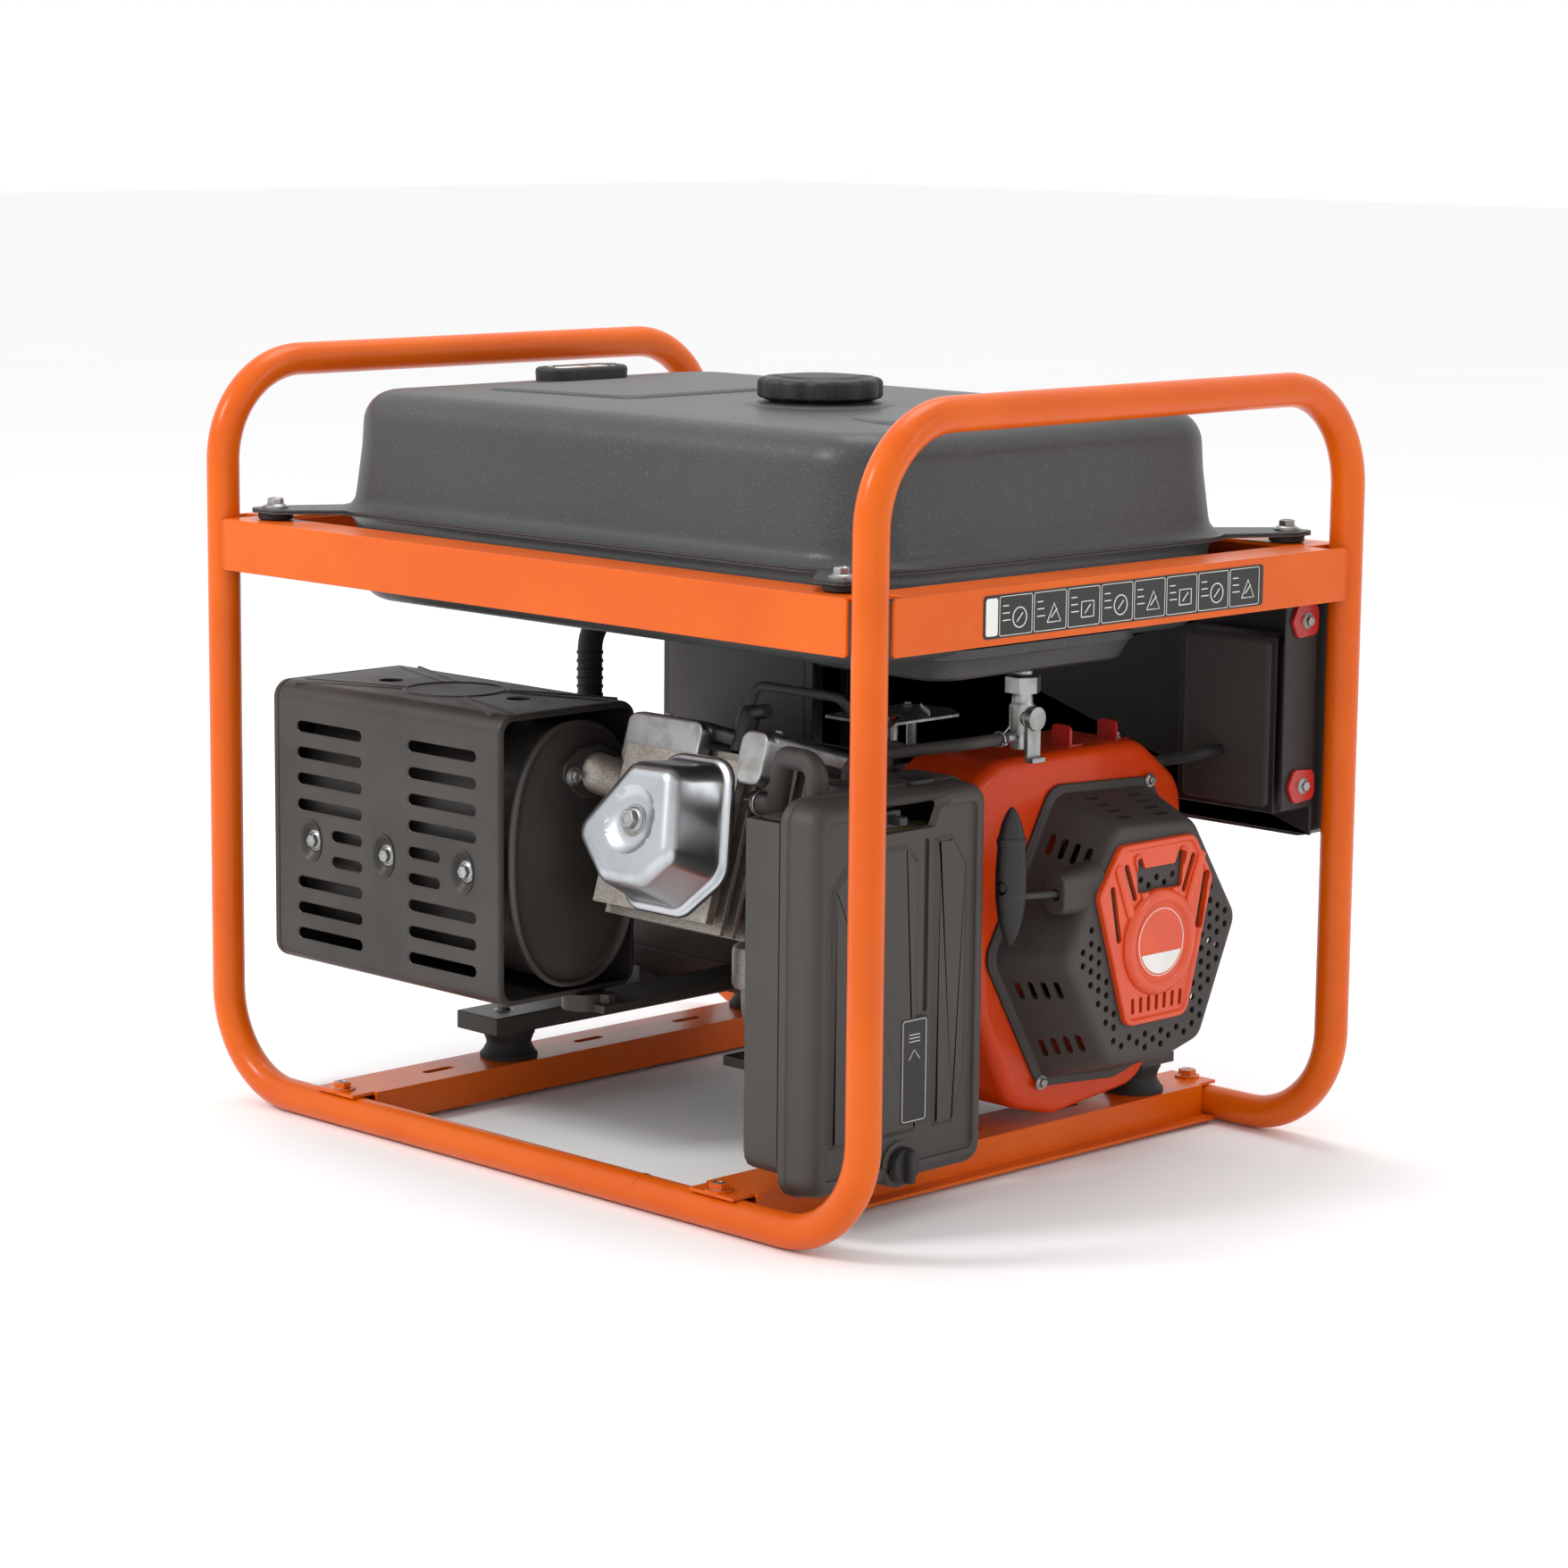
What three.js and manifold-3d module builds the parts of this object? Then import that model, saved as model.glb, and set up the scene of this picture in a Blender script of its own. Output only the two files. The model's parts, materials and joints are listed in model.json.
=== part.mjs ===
// Open-frame portable petrol generator: a bent-tube frame that carries a fuel tank, a horizontal-shaft engine
// with its muffler, air cleaner and recoil starter, an alternator and a control panel.
// Millimetres, +Z up. The origin is on the ground under the middle of the frame, +X points to the
// recoil starter, -Y to the muffler side and +Y to the control panel.
import * as THREE from 'three';
import { mergeVertices } from 'three/addons/utils/BufferGeometryUtils.js';
import Module from 'manifold-3d';

const wasm = await Module();
wasm.setup();

// ---------------------------------------------------------------- driving dimensions
const GAP = 0.3;                 // between pieces that touch

const FRAME_LENGTH = 721.4;      // over the tubes, along X
const FRAME_WIDTH = 539.4;       // over the tubes, along Y
const FRAME_HEIGHT = 592;
const TUBE_DIAMETER = 25.4;
const TUBE_WALL = 2;
const BEND_RADIUS = 76;
const WELD_SEAM_X = 130;         // where the two halves of the loop are butt-welded

const RAIL_LEG = 40;             // angle iron round the posts
const RAIL_WALL = 3;
const RAIL_TOP = 460;

const BASE_RAIL_X = 208;         // centre of each rail under the machine
const BASE_RAIL_WIDTH = 52;
const BASE_RAIL_TOP = TUBE_DIAMETER + 2.8;
const BASE_RAIL_WALL = 2.5;
const BASE_RAIL_LIP = 13;

const MOUNT_HEIGHT = 23.2;       // rubber mounts between the base rails and the cradles
const MOUNT_RADIUS = 19;
const CRADLE_THICKNESS = 7.7;

const TANK_END_CLEARANCE = 45.3; // inside of the posts to the tank's end wall
const TANK_SIDE_CLEARANCE = 41.3;
const TANK_TOP = 560;
const TANK_DEPTH_BELOW_RAIL = 62;
const TANK_SUMP_DEPTH = 18;
const TANK_SHEET = 1.8;
const TANK_PAD_HEIGHT = 5;
const TANK_CORNER_RADIUS = 52;
const TANK_EDGE_RADIUS = 18;
const FILLER_X = 60;
const FILLER_Y = -13;
const FILLER_RADIUS = 34;
const CAP_RADIUS = 47;
const CAP_HEIGHT = 22;

const CRANK_TO_BACK = 157;       // crank axis to the centres of the back posts
const SUMP_BELOW_CRANK = 112;
const CYLINDER_X = 70;
const CYLINDER_TILT = 17 * Math.PI / 180;
const BORE_RADIUS = 44;
const STROKE = 64;
const CRANK_JOURNAL = 17.5;
const CRANK_PIN = 14;
const CASE_LENGTH = 150;

const ALTERNATOR_RADIUS = 105;
const ALTERNATOR_LENGTH = 290;
const ROTOR_RADIUS = ALTERNATOR_RADIUS - 30;
const CORE_LENGTH = 118;         // laminations of the stator and the rotor

const MUFFLER_WIDTH = 267;
const MUFFLER_DEPTH = 138;
const MUFFLER_HEIGHT = 219;
const MUFFLER_SHEET = 1.6;

const AIR_BOX_X = 225;
const AIR_BOX_WIDTH = 182;
const AIR_BOX_HEIGHT = 267;
const AIR_BOX_WALL = 2.5;

const SHROUD_X = 168;
const SHROUD_DEPTH = 76.7;
const COVER_DEPTH = 58;
const COVER_WALL = 3;

const PANEL_HEIGHT = 201;
const PANEL_TOP = 439;
const PANEL_WALL = 2.5;

// ---------------------------------------------------------------- derived places
const TUBE_RADIUS = TUBE_DIAMETER / 2;
const POST_X = FRAME_LENGTH / 2 - TUBE_RADIUS;
const POST_Y = FRAME_WIDTH / 2 - TUBE_RADIUS;
const TOP_Z = FRAME_HEIGHT - TUBE_RADIUS;
const RAIL_OUT = 0.85 * TUBE_RADIUS;
const CRANK_Y = POST_Y - CRANK_TO_BACK;
const CRADLE_TOP = BASE_RAIL_TOP + 2 * GAP + MOUNT_HEIGHT + CRADLE_THICKNESS;
const CRANK_Z = CRADLE_TOP + GAP + SUMP_BELOW_CRANK;

// ---------------------------------------------------------------- materials
const paint = (color, roughness, metalness) => (
  new THREE.MeshStandardMaterial({ color, roughness, metalness })
);
const orange = () => paint(0xf0731a, 0.35, 0.1);
const tankGrey = () => paint(0x4a4d4f, 0.45, 0.5);
const satinBlack = () => paint(0x2c2a28, 0.5, 0.4);
const blackPlastic = () => paint(0x1c1b1a, 0.55, 0);
const greyPlastic = () => paint(0x3b3835, 0.6, 0);
const castAluminium = () => paint(0xa8a6a2, 0.5, 0.9);
const polishedSteel = () => paint(0xc8cacc, 0.2, 1);
const zinc = () => paint(0xb9bcbe, 0.35, 1);
const steel = () => paint(0x85878a, 0.4, 1);
const rubber = () => paint(0x171717, 0.85, 0);
const copper = () => paint(0xa6633c, 0.4, 0.8);
const paper = () => paint(0xd9cfa8, 0.9, 0);

// ---------------------------------------------------------------- solids
function solid(geometry) {
  const bare = geometry.clone();
  bare.deleteAttribute('normal');
  bare.deleteAttribute('uv');
  const merged = mergeVertices(bare, 1e-4);
  const vertProperties = Float32Array.from(merged.attributes.position.array);
  const triVerts = Uint32Array.from(merged.index.array);
  return new wasm.Manifold(new wasm.Mesh({ numProp: 3, vertProperties, triVerts }));
}

function toGeometry(body) {
  const { vertProperties, triVerts } = body.getMesh();
  const geometry = new THREE.BufferGeometry();
  geometry.setAttribute('position', new THREE.BufferAttribute(vertProperties, 3));
  geometry.setIndex(new THREE.BufferAttribute(triVerts, 1));
  geometry.computeVertexNormals();
  return geometry;
}

const join = (...bodies) => bodies.reduce((sum, body) => sum.add(body));
const cut = (body, ...tools) => tools.reduce((rest, tool) => rest.subtract(tool), body);
const around = (centre, half) => [centre - half, centre + half];

function box([x0, x1], [y0, y1], [z0, z1]) {
  const geometry = new THREE.BoxGeometry(x1 - x0, y1 - y0, z1 - z0);
  return solid(geometry.translate((x0 + x1) / 2, (y0 + y1) / 2, (z0 + z1) / 2));
}

// A cylinder along an axis through the point (u, v): (y, z) for X, (x, z) for Y and (x, y) for Z.
function rod(axis, [u, v], radius, [from, to], sides = 16, endRadius = radius) {
  const geometry = new THREE.CylinderGeometry(endRadius, radius, to - from, sides);
  const middle = (from + to) / 2;
  if (axis === 'x') return solid(geometry.rotateZ(-Math.PI / 2).translate(middle, u, v));
  if (axis === 'y') return solid(geometry.translate(u, middle, v));
  return solid(geometry.rotateX(Math.PI / 2).translate(u, v, middle));
}

// A round bar with both end faces square to X although its middle line slants.
function slantedRod([x, y, z], [length, rise, climb], radius) {
  const geometry = new THREE.CylinderGeometry(radius, radius, length, 16).rotateZ(-Math.PI / 2);
  const shear = new THREE.Matrix4().set(
    1, 0, 0, 0,
    rise / length, 1, 0, 0,
    climb / length, 0, 1, 0,
    0, 0, 0, 1,
  );
  return solid(geometry.applyMatrix4(shear).translate(x + length / 2, y + rise / 2, z + climb / 2));
}

const ring = (axis, centre, outer, inner, [from, to], sides) =>
  cut(rod(axis, centre, outer, [from, to], sides), rod(axis, centre, inner, [from - 1, to + 1], sides));

// A closed outline with each corner rounded; points are in the same order of axes as rod().
function outline(points, radius = 0) {
  const corners = points.map(([u, v]) => new THREE.Vector2(u, v));
  const shape = new THREE.Shape();
  corners.forEach((corner, i) => {
    const before = corners[(i + corners.length - 1) % corners.length];
    const after = corners[(i + 1) % corners.length];
    const reach = Math.min(radius, corner.distanceTo(before) / 2.1, corner.distanceTo(after) / 2.1);
    const start = corner.clone().add(before.clone().sub(corner).setLength(reach));
    const end = corner.clone().add(after.clone().sub(corner).setLength(reach));
    if (i === 0) shape.moveTo(start.x, start.y);
    else shape.lineTo(start.x, start.y);
    if (radius > 0) shape.quadraticCurveTo(corner.x, corner.y, end.x, end.y);
  });
  shape.closePath();
  return shape;
}

const rectangle = ([u0, u1], [v0, v1]) => [[u0, v0], [u1, v0], [u1, v1], [u0, v1]];
const scaled = (points, factor) => points.map(([u, v]) => [u * factor, v * factor]);

// Extrudes an outline along an axis. The bevel rounds both end edges.
function prismGeometry(axis, points, [from, to], options = {}) {
  const { radius = 0, bevel = 0, bevelSegments = 2, curve = 3 } = options;
  const flat = axis === 'y' ? points.map(([x, z]) => [z, x]) : points;
  const geometry = new THREE.ExtrudeGeometry(outline(flat, radius), {
    depth: to - from - 2 * bevel,
    bevelEnabled: bevel > 0,
    bevelThickness: bevel,
    bevelSize: bevel,
    bevelOffset: -bevel,
    bevelSegments,
    curveSegments: curve,
  });
  geometry.translate(0, 0, from + bevel);
  const turn = new THREE.Matrix4();
  if (axis === 'x') turn.set(0, 0, 1, 0, 1, 0, 0, 0, 0, 1, 0, 0, 0, 0, 0, 1);
  if (axis === 'y') turn.set(0, 1, 0, 0, 0, 0, 1, 0, 1, 0, 0, 0, 0, 0, 0, 1);
  geometry.applyMatrix4(turn);
  return geometry;
}

const prism = (axis, points, span, options) => solid(prismGeometry(axis, points, span, options));

// Narrows a geometry evenly along an axis: full size at `from`, `scale` times that at `to`.
function taper(geometry, axis, [from, to], [scaleU, scaleV]) {
  const [a, u, v] = { x: [0, 1, 2], y: [1, 0, 2], z: [2, 0, 1] }[axis];
  const position = geometry.attributes.position;
  for (let i = 0; i < position.count; i++) {
    const t = (position.getComponent(i, a) - from) / (to - from);
    position.setComponent(i, u, position.getComponent(i, u) * (1 + (scaleU - 1) * t));
    position.setComponent(i, v, position.getComponent(i, v) * (1 + (scaleV - 1) * t));
  }
  return geometry;
}

// A path whose extrusion steps fall on chosen stations: one per straight, several per bend.
class StationPath extends THREE.Curve {
  constructor(stations) {
    super();
    this.stations = stations;
  }

  getPoint(t) {
    return this.stations[Math.round(t * (this.stations.length - 1))].point.clone();
  }

  getTangent(t) {
    return this.stations[Math.round(t * (this.stations.length - 1))].tangent.clone();
  }

  getPointAt(t) {
    return this.getPoint(t);
  }

  getTangentAt(t) {
    return this.getTangent(t);
  }
}

function bentPath(points, bend, steps) {
  const corners = points.map((point) => new THREE.Vector3(...point));
  const last = corners.length - 1;
  const stations = [{ point: corners[0], tangent: corners[1].clone().sub(corners[0]).normalize() }];
  for (let i = 1; i < last; i++) {
    const back = corners[i - 1].clone().sub(corners[i]).normalize();
    const ahead = corners[i + 1].clone().sub(corners[i]).normalize();
    const opening = back.angleTo(ahead);
    const start = corners[i].clone().addScaledVector(back, bend / Math.tan(opening / 2));
    const inward = back.clone().add(ahead).setLength(bend / Math.sin(opening / 2));
    const centre = corners[i].clone().add(inward);
    const normal = centre.clone().sub(start).normalize();
    const run = back.clone().negate();
    for (let k = 0; k <= steps; k++) {
      const angle = (Math.PI - opening) * k / steps;
      const point = centre.clone()
        .addScaledVector(normal, -bend * Math.cos(angle))
        .addScaledVector(run, bend * Math.sin(angle));
      const tangent = run.clone().multiplyScalar(Math.cos(angle)).addScaledVector(normal, Math.sin(angle));
      stations.push({ point, tangent });
    }
  }
  stations.push({ point: corners[last], tangent: corners[last].clone().sub(corners[last - 1]).normalize() });
  return stations;
}

function tube(points, radius, { bend, wall = 0, sides = 10, steps = 5 }) {
  const stations = bentPath(points, bend, steps);
  const section = new THREE.Shape().absarc(0, 0, radius, 0, 2 * Math.PI);
  if (wall > 0) section.holes.push(new THREE.Path().absarc(0, 0, radius - wall, 0, 2 * Math.PI));
  return solid(new THREE.ExtrudeGeometry(section, {
    steps: stations.length - 1,
    curveSegments: sides / 2,
    extrudePath: new StationPath(stations),
  }));
}

function piece(parent, name, body, material) {
  const mesh = new THREE.Mesh(toGeometry(body), material);
  mesh.name = name;
  parent.add(mesh);
  return mesh;
}

// ---------------------------------------------------------------- frame
const generator = new THREE.Group();

// Half of the closed loop: from the front weld seam down one end, over the top and back along the other side.
function frameHalf() {
  const low = TUBE_RADIUS;
  const loop = tube([
    [WELD_SEAM_X - GAP / 2, -POST_Y, low],
    [-POST_X, -POST_Y, low],
    [-POST_X, -POST_Y, TOP_Z],
    [-POST_X, POST_Y, TOP_Z],
    [-POST_X, POST_Y, low],
    [-WELD_SEAM_X - GAP / 2, POST_Y, low],
  ], TUBE_RADIUS, { bend: BEND_RADIUS, wall: TUBE_WALL, sides: 12, steps: 5 });
  return loop;
}

const EAR_HALF = 12;
const EAR_THICKNESS = 3;
const EAR_LENGTH = 48;
const PANEL_EAR_HEIGHTS = [280, 405];

function panelEar(z) {
  const inner = POST_X - TUBE_RADIUS + 1.7;
  const end = POST_Y - 5;
  return box([inner, inner + EAR_THICKNESS], [end - EAR_LENGTH, end], around(z, EAR_HALF));
}

function makeFrame() {
  piece(generator, 'frame_tube_left', frameHalf(), orange());
  const right = solid(toGeometry(frameHalf()).rotateZ(Math.PI));
  const bore = TUBE_RADIUS - TUBE_WALL - 0.1;
  const [lowEar, highEar] = PANEL_EAR_HEIGHTS;
  const post = rod('z', [POST_X, POST_Y], bore, [lowEar - 50, highEar + 50]);
  const ears = PANEL_EAR_HEIGHTS.map((z) => panelEar(z).subtract(post));
  piece(generator, 'frame_tube_right', join(right, ...ears), orange());

  const sideLeg = POST_Y - TUBE_RADIUS - GAP;
  const endLeg = POST_X - TUBE_RADIUS - GAP;
  const faceY = POST_Y + RAIL_OUT;
  const faceX = POST_X + RAIL_OUT;
  const low = RAIL_TOP - RAIL_LEG;
  const flange = [RAIL_TOP - RAIL_WALL, RAIL_TOP];
  for (const [name, side] of [['rail_front', -1], ['rail_back', 1]]) {
    const span = (a, b) => [side * a, side * b].sort((p, q) => p - q);
    piece(generator, name, join(
      box([-endLeg, endLeg], span(faceY - RAIL_WALL, faceY), [low, RAIL_TOP]),
      box([-endLeg, endLeg], span(faceY - RAIL_LEG, faceY), flange),
    ), orange());
  }
  const flangeEnd = faceY - RAIL_LEG - GAP;
  for (const [name, side] of [['rail_left', -1], ['rail_right', 1]]) {
    const span = (a, b) => [side * a, side * b].sort((p, q) => p - q);
    piece(generator, name, join(
      box(span(faceX - RAIL_WALL, faceX), [-sideLeg, sideLeg], [low, RAIL_TOP]),
      box(span(faceX - RAIL_LEG, faceX), [-flangeEnd, flangeEnd], flange),
    ), orange());
  }
}

// A hat-section rail across the two bottom tubes, bolted down on top of each.
function baseRail(side) {
  const half = BASE_RAIL_WIDTH / 2;
  const floor = 3;
  const under = BASE_RAIL_TOP - BASE_RAIL_WALL;
  const webEnd = POST_Y - TUBE_RADIUS - GAP;
  const x = (offset) => side * (BASE_RAIL_X + offset);
  const section = [
    [x(-half), floor], [x(-half + BASE_RAIL_WALL), floor], [x(-half + BASE_RAIL_WALL), under],
    [x(half - BASE_RAIL_WALL), under], [x(half - BASE_RAIL_WALL), floor], [x(half + BASE_RAIL_LIP), floor],
    [x(half + BASE_RAIL_LIP), floor + BASE_RAIL_WALL], [x(half), floor + BASE_RAIL_WALL],
    [x(half), BASE_RAIL_TOP], [x(-half), BASE_RAIL_TOP],
  ];
  let rail = prism('y', section, [-webEnd, webEnd]);
  for (const end of [-1, 1]) {
    const tab = [end * (webEnd - 2), end * (POST_Y + 8)].sort((p, q) => p - q);
    rail = join(
      rail,
      box(around(x(0), half - 4), tab, [under, BASE_RAIL_TOP]),
      rod('z', [x(0), end * POST_Y], 10, [BASE_RAIL_TOP - 1, BASE_RAIL_TOP + 1.6], 10),
      rod('z', [x(0), end * POST_Y], 7, [BASE_RAIL_TOP, BASE_RAIL_TOP + 6], 6),
    );
  }
  for (const slotY of [-160, 0, 110]) {
    const slot = rectangle(around(x(0), 4), around(slotY, 15));
    rail = rail.subtract(prism('z', slot, [under - 1, BASE_RAIL_TOP + 1], { radius: 4, curve: 2 }));
  }
  return rail;
}

// Measured from the crank axis. The front right mount sits in from the air cleaner.
const MOUNT_FRONT_LEFT_Y = -186;
const MOUNT_FRONT_RIGHT_Y = -136;
const MOUNT_BACK_Y = 92;

function makeBase() {
  piece(generator, 'base_rail_left', baseRail(-1), orange());
  piece(generator, 'base_rail_right', baseRail(1), orange());
  const bottom = BASE_RAIL_TOP + GAP;
  for (const [end, side, frontY] of [['left', -1, MOUNT_FRONT_LEFT_Y], ['right', 1, MOUNT_FRONT_RIGHT_Y]]) {
    for (const [row, y] of [['front', frontY], ['back', MOUNT_BACK_Y]]) {
      const centre = [side * BASE_RAIL_X, CRANK_Y + y];
      const body = rod('z', centre, MOUNT_RADIUS + 4, [bottom, bottom + MOUNT_HEIGHT], 20, MOUNT_RADIUS);
      piece(generator, `rubber_mount_${row}_${end}`, body, rubber());
    }
  }
}

// ---------------------------------------------------------------- fuel tank
const TANK_HALF_X = POST_X - TUBE_RADIUS - TANK_END_CLEARANCE;
const TANK_HALF_Y = POST_Y - TUBE_RADIUS - TANK_SIDE_CLEARANCE;
const SEAM_Z = RAIL_TOP + GAP + TANK_PAD_HEIGHT + TANK_SHEET;
const TANK_BOTTOM = RAIL_TOP - TANK_DEPTH_BELOW_RAIL;
const SUMP_X = 200;
const SEAM_LIP = 13;
const BOLT_X = POST_X - 43;
const BOLT_Y = POST_Y + RAIL_OUT - 28;

const tankBolts = () => [-1, 1].flatMap((sx) => [-1, 1].map((sy) => [sx * BOLT_X, sy * BOLT_Y]));

function tankPlan(inset) {
  return rectangle(around(0, TANK_HALF_X - inset), around(0, TANK_HALF_Y - inset));
}

// The seam flange of one half, drawn out at each corner into an ear over the rubber pad.
function tankFlange(z0, z1) {
  const plate = prism('z', tankPlan(-SEAM_LIP), [z0, z1], { radius: TANK_CORNER_RADIUS + SEAM_LIP });
  const ears = [-1, 1].flatMap((sx) => [-1, 1].map((sy) => prism('z', [
    [sx * (BOLT_X + 17), sy * (BOLT_Y - 6)],
    [sx * (BOLT_X + 14), sy * (BOLT_Y + 15)],
    [sx * (BOLT_X - 14), sy * (BOLT_Y + 15)],
    [sx * (TANK_HALF_X - 60), sy * (TANK_HALF_Y - 20)],
    [sx * (TANK_HALF_X - 20), sy * (TANK_HALF_Y - 60)],
  ], [z0, z1], { radius: 10, curve: 2 })));
  return join(plate, ...ears);
}

function tankShape(inset, [z0, z1], edge, [narrowX, narrowY]) {
  const geometry = prismGeometry('z', tankPlan(inset), [z0, z1],
    { radius: TANK_CORNER_RADIUS, bevel: edge, bevelSegments: inset > 0 ? 1 : 3, curve: inset > 0 ? 2 : 3 });
  return solid(taper(geometry, 'z', [SEAM_Z, z1 > SEAM_Z ? TANK_TOP : TANK_BOTTOM], [narrowX, narrowY]));
}

function tankUpper() {
  const base = SEAM_Z + GAP;
  const below = box([-400, 400], [-400, 400], [0, base]);
  const outer = tankShape(0, [base - 60, TANK_TOP], TANK_EDGE_RADIUS, [0.976, 0.99]);
  const inner = tankShape(TANK_SHEET, [base - 60, TANK_TOP - TANK_SHEET], TANK_EDGE_RADIUS, [0.976, 0.99]);
  const filler = [FILLER_X, FILLER_Y];
  const neckSpan = [TANK_TOP - TANK_SHEET, TANK_TOP + 12];
  const bolts = tankBolts().flatMap((centre) => [
    rod('z', centre, 11, [base, base + TANK_SHEET + 2], 10),
    rod('z', centre, 7, [base, base + TANK_SHEET + 8], 6),
  ]);
  const skin = join(outer.subtract(below), tankFlange(base, base + TANK_SHEET)).subtract(inner);
  return join(
    skin.subtract(rod('z', filler, FILLER_RADIUS - 1, [TANK_TOP - 10, TANK_TOP + 10])),
    ring('z', filler, FILLER_RADIUS, FILLER_RADIUS - 2, neckSpan, 24),
    ...bolts,
  );
}

function tankLower() {
  const above = box([-400, 400], [-400, 400], [SEAM_Z, SEAM_Z + 200]);
  const outer = tankShape(0, [TANK_BOTTOM, SEAM_Z + 60], 14, [0.985, 0.97]);
  const inner = tankShape(TANK_SHEET, [TANK_BOTTOM + TANK_SHEET, SEAM_Z + 60], 14, [0.985, 0.97]);
  const sumpPlan = (inset) => rectangle(around(SUMP_X, 76 - inset), around(0, 110 - inset));
  const sumpFloor = TANK_BOTTOM - TANK_SUMP_DEPTH;
  const sump = prism('z', sumpPlan(0), [sumpFloor, TANK_BOTTOM + 20], { radius: 30, bevel: 8 });
  const sumpInner = prism('z', sumpPlan(TANK_SHEET), [sumpFloor + TANK_SHEET, TANK_BOTTOM + 20],
    { radius: 30, bevel: 8 });
  const seam = SEAM_Z - TANK_SHEET;
  const pads = tankBolts().map((centre) => rod('z', centre, 14, [RAIL_TOP + GAP, seam + 0.5], 12));
  return join(
    cut(join(outer, sump), above).add(tankFlange(seam, SEAM_Z)).subtract(inner).subtract(sumpInner),
    ...pads,
  );
}

function fuelCap() {
  const lobes = 12;
  const points = [];
  for (let i = 0; i < lobes * 4; i++) {
    const angle = 2 * Math.PI * i / (lobes * 4);
    const radius = CAP_RADIUS - 1.6 + 1.6 * Math.cos(lobes * angle);
    points.push([FILLER_X + radius * Math.cos(angle), FILLER_Y + radius * Math.sin(angle)]);
  }
  const base = TANK_TOP + GAP;
  const top = base + CAP_HEIGHT;
  return join(
    prism('z', points, [base, top - 6]),
    rod('z', [FILLER_X, FILLER_Y], 38, [top - 7, top], 24, 30),
  ).subtract(rod('z', [FILLER_X, FILLER_Y], FILLER_RADIUS + GAP, [base - 1, TANK_TOP + 12 + GAP], 24));
}

const GAUGE_X = -POST_X + 104;
const VALVE_X = 258;
const VALVE_Y = -2;

function makeTank() {
  piece(generator, 'tank_upper', tankUpper(), tankGrey());
  piece(generator, 'tank_lower', tankLower(), tankGrey());
  piece(generator, 'fuel_cap', fuelCap(), blackPlastic());
  const gauge = rectangle(around(GAUGE_X, 18), around(24, 42));
  const gaugeHeights = [TANK_TOP + GAP, TANK_TOP + 11];
  piece(generator, 'fuel_gauge', prism('z', gauge, gaugeHeights, { radius: 8, bevel: 2, bevelSegments: 1 }),
    blackPlastic());

  const top = TANK_BOTTOM - TANK_SUMP_DEPTH - GAP;
  const body = join(
    rod('z', [VALVE_X, VALVE_Y], 12, [top - 12, top], 6),
    rod('z', [VALVE_X, VALVE_Y], 8, [top - 20, top - 11], 16),
    box(around(VALVE_X, 9), around(VALVE_Y, 11), [top - 58, top - 18]),
    rod('y', [VALVE_X, top - 48], 4, [VALVE_Y - 18, VALVE_Y], 12),
  );
  piece(generator, 'fuel_valve_body', body, zinc());
  const leverX = VALVE_X + 9 + GAP;
  const lever = join(
    rod('x', [VALVE_Y, top - 34], 9, [leverX, leverX + 6], 18),
    box([leverX, leverX + 3], around(VALVE_Y, 7), [top - 64, top - 34]),
    box([leverX, leverX + 8], around(VALVE_Y, 7), [top - 66, top - 62]),
  );
  piece(generator, 'fuel_valve_lever', lever, zinc());
}

// ---------------------------------------------------------------- engine, about the crank axis
const engine = new THREE.Group();
engine.position.set(0, CRANK_Y, CRANK_Z);
generator.add(engine);
const cylinderGroup = new THREE.Group();   // -Y runs up the cylinder
cylinderGroup.position.x = CYLINDER_X;
cylinderGroup.rotation.x = -CYLINDER_TILT;
engine.add(cylinderGroup);

const DECK_Y = -200;             // face between the barrel and the head
const HEAD_LENGTH = 91.7;
const HEAD_HALF_X = 56;
const HEAD_HALF_Z = 60;
const COVER_OUTLINE = [[-6, 46], [43, 47], [58, -20], [30, -47], [-13, -47], [-51, -12]];
const VALVE_COVER_DEPTH = 46;

// Turns a solid from the cylinder's own frame into the engine's frame.
const tilted = (body) => solid(toGeometry(body).rotateX(-CYLINDER_TILT).translate(CYLINDER_X, 0, 0));

function crankcase() {
  const profile = [
    [-118, -112], [78, -112], [96, -80], [96, 48], [60, 92], [-70, 92], [-132, 40], [-132, -84],
  ];
  let body = prism('x', profile, [0, CASE_LENGTH], { radius: 12, curve: 3 });
  const barrel = join(
    box(around(0, 52), [DECK_Y + GAP, -60], around(0, 52)),
    ...[-186, -170, -154, -138].map((y) => box(around(0, 60), around(y, 2), around(0, 62))),
    box(around(0, 60), [DECK_Y + GAP, DECK_Y + 8], around(0, 60)),
  );
  body = join(
    body,
    tilted(barrel),
    rod('y', [60, -74], 17, [-142, -125], 16),
    rod('y', [112, -96], 9, [-140, -125], 6),
    ...[30, 120].flatMap((x) => [-80, 60].map((y) => rod('z', [x, y], 14, [-SUMP_BELOW_CRANK, -80], 12))),
  );
  return cut(
    body,
    rod('x', [0, 0], 72, [-1, CASE_LENGTH - 12], 32),
    rod('x', [0, 0], CRANK_JOURNAL + GAP, [CASE_LENGTH - 20, CASE_LENGTH + 1], 40),
    tilted(rod('y', [0, 0], BORE_RADIUS, [DECK_Y - 10, -50], 32)),
  );
}

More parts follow.
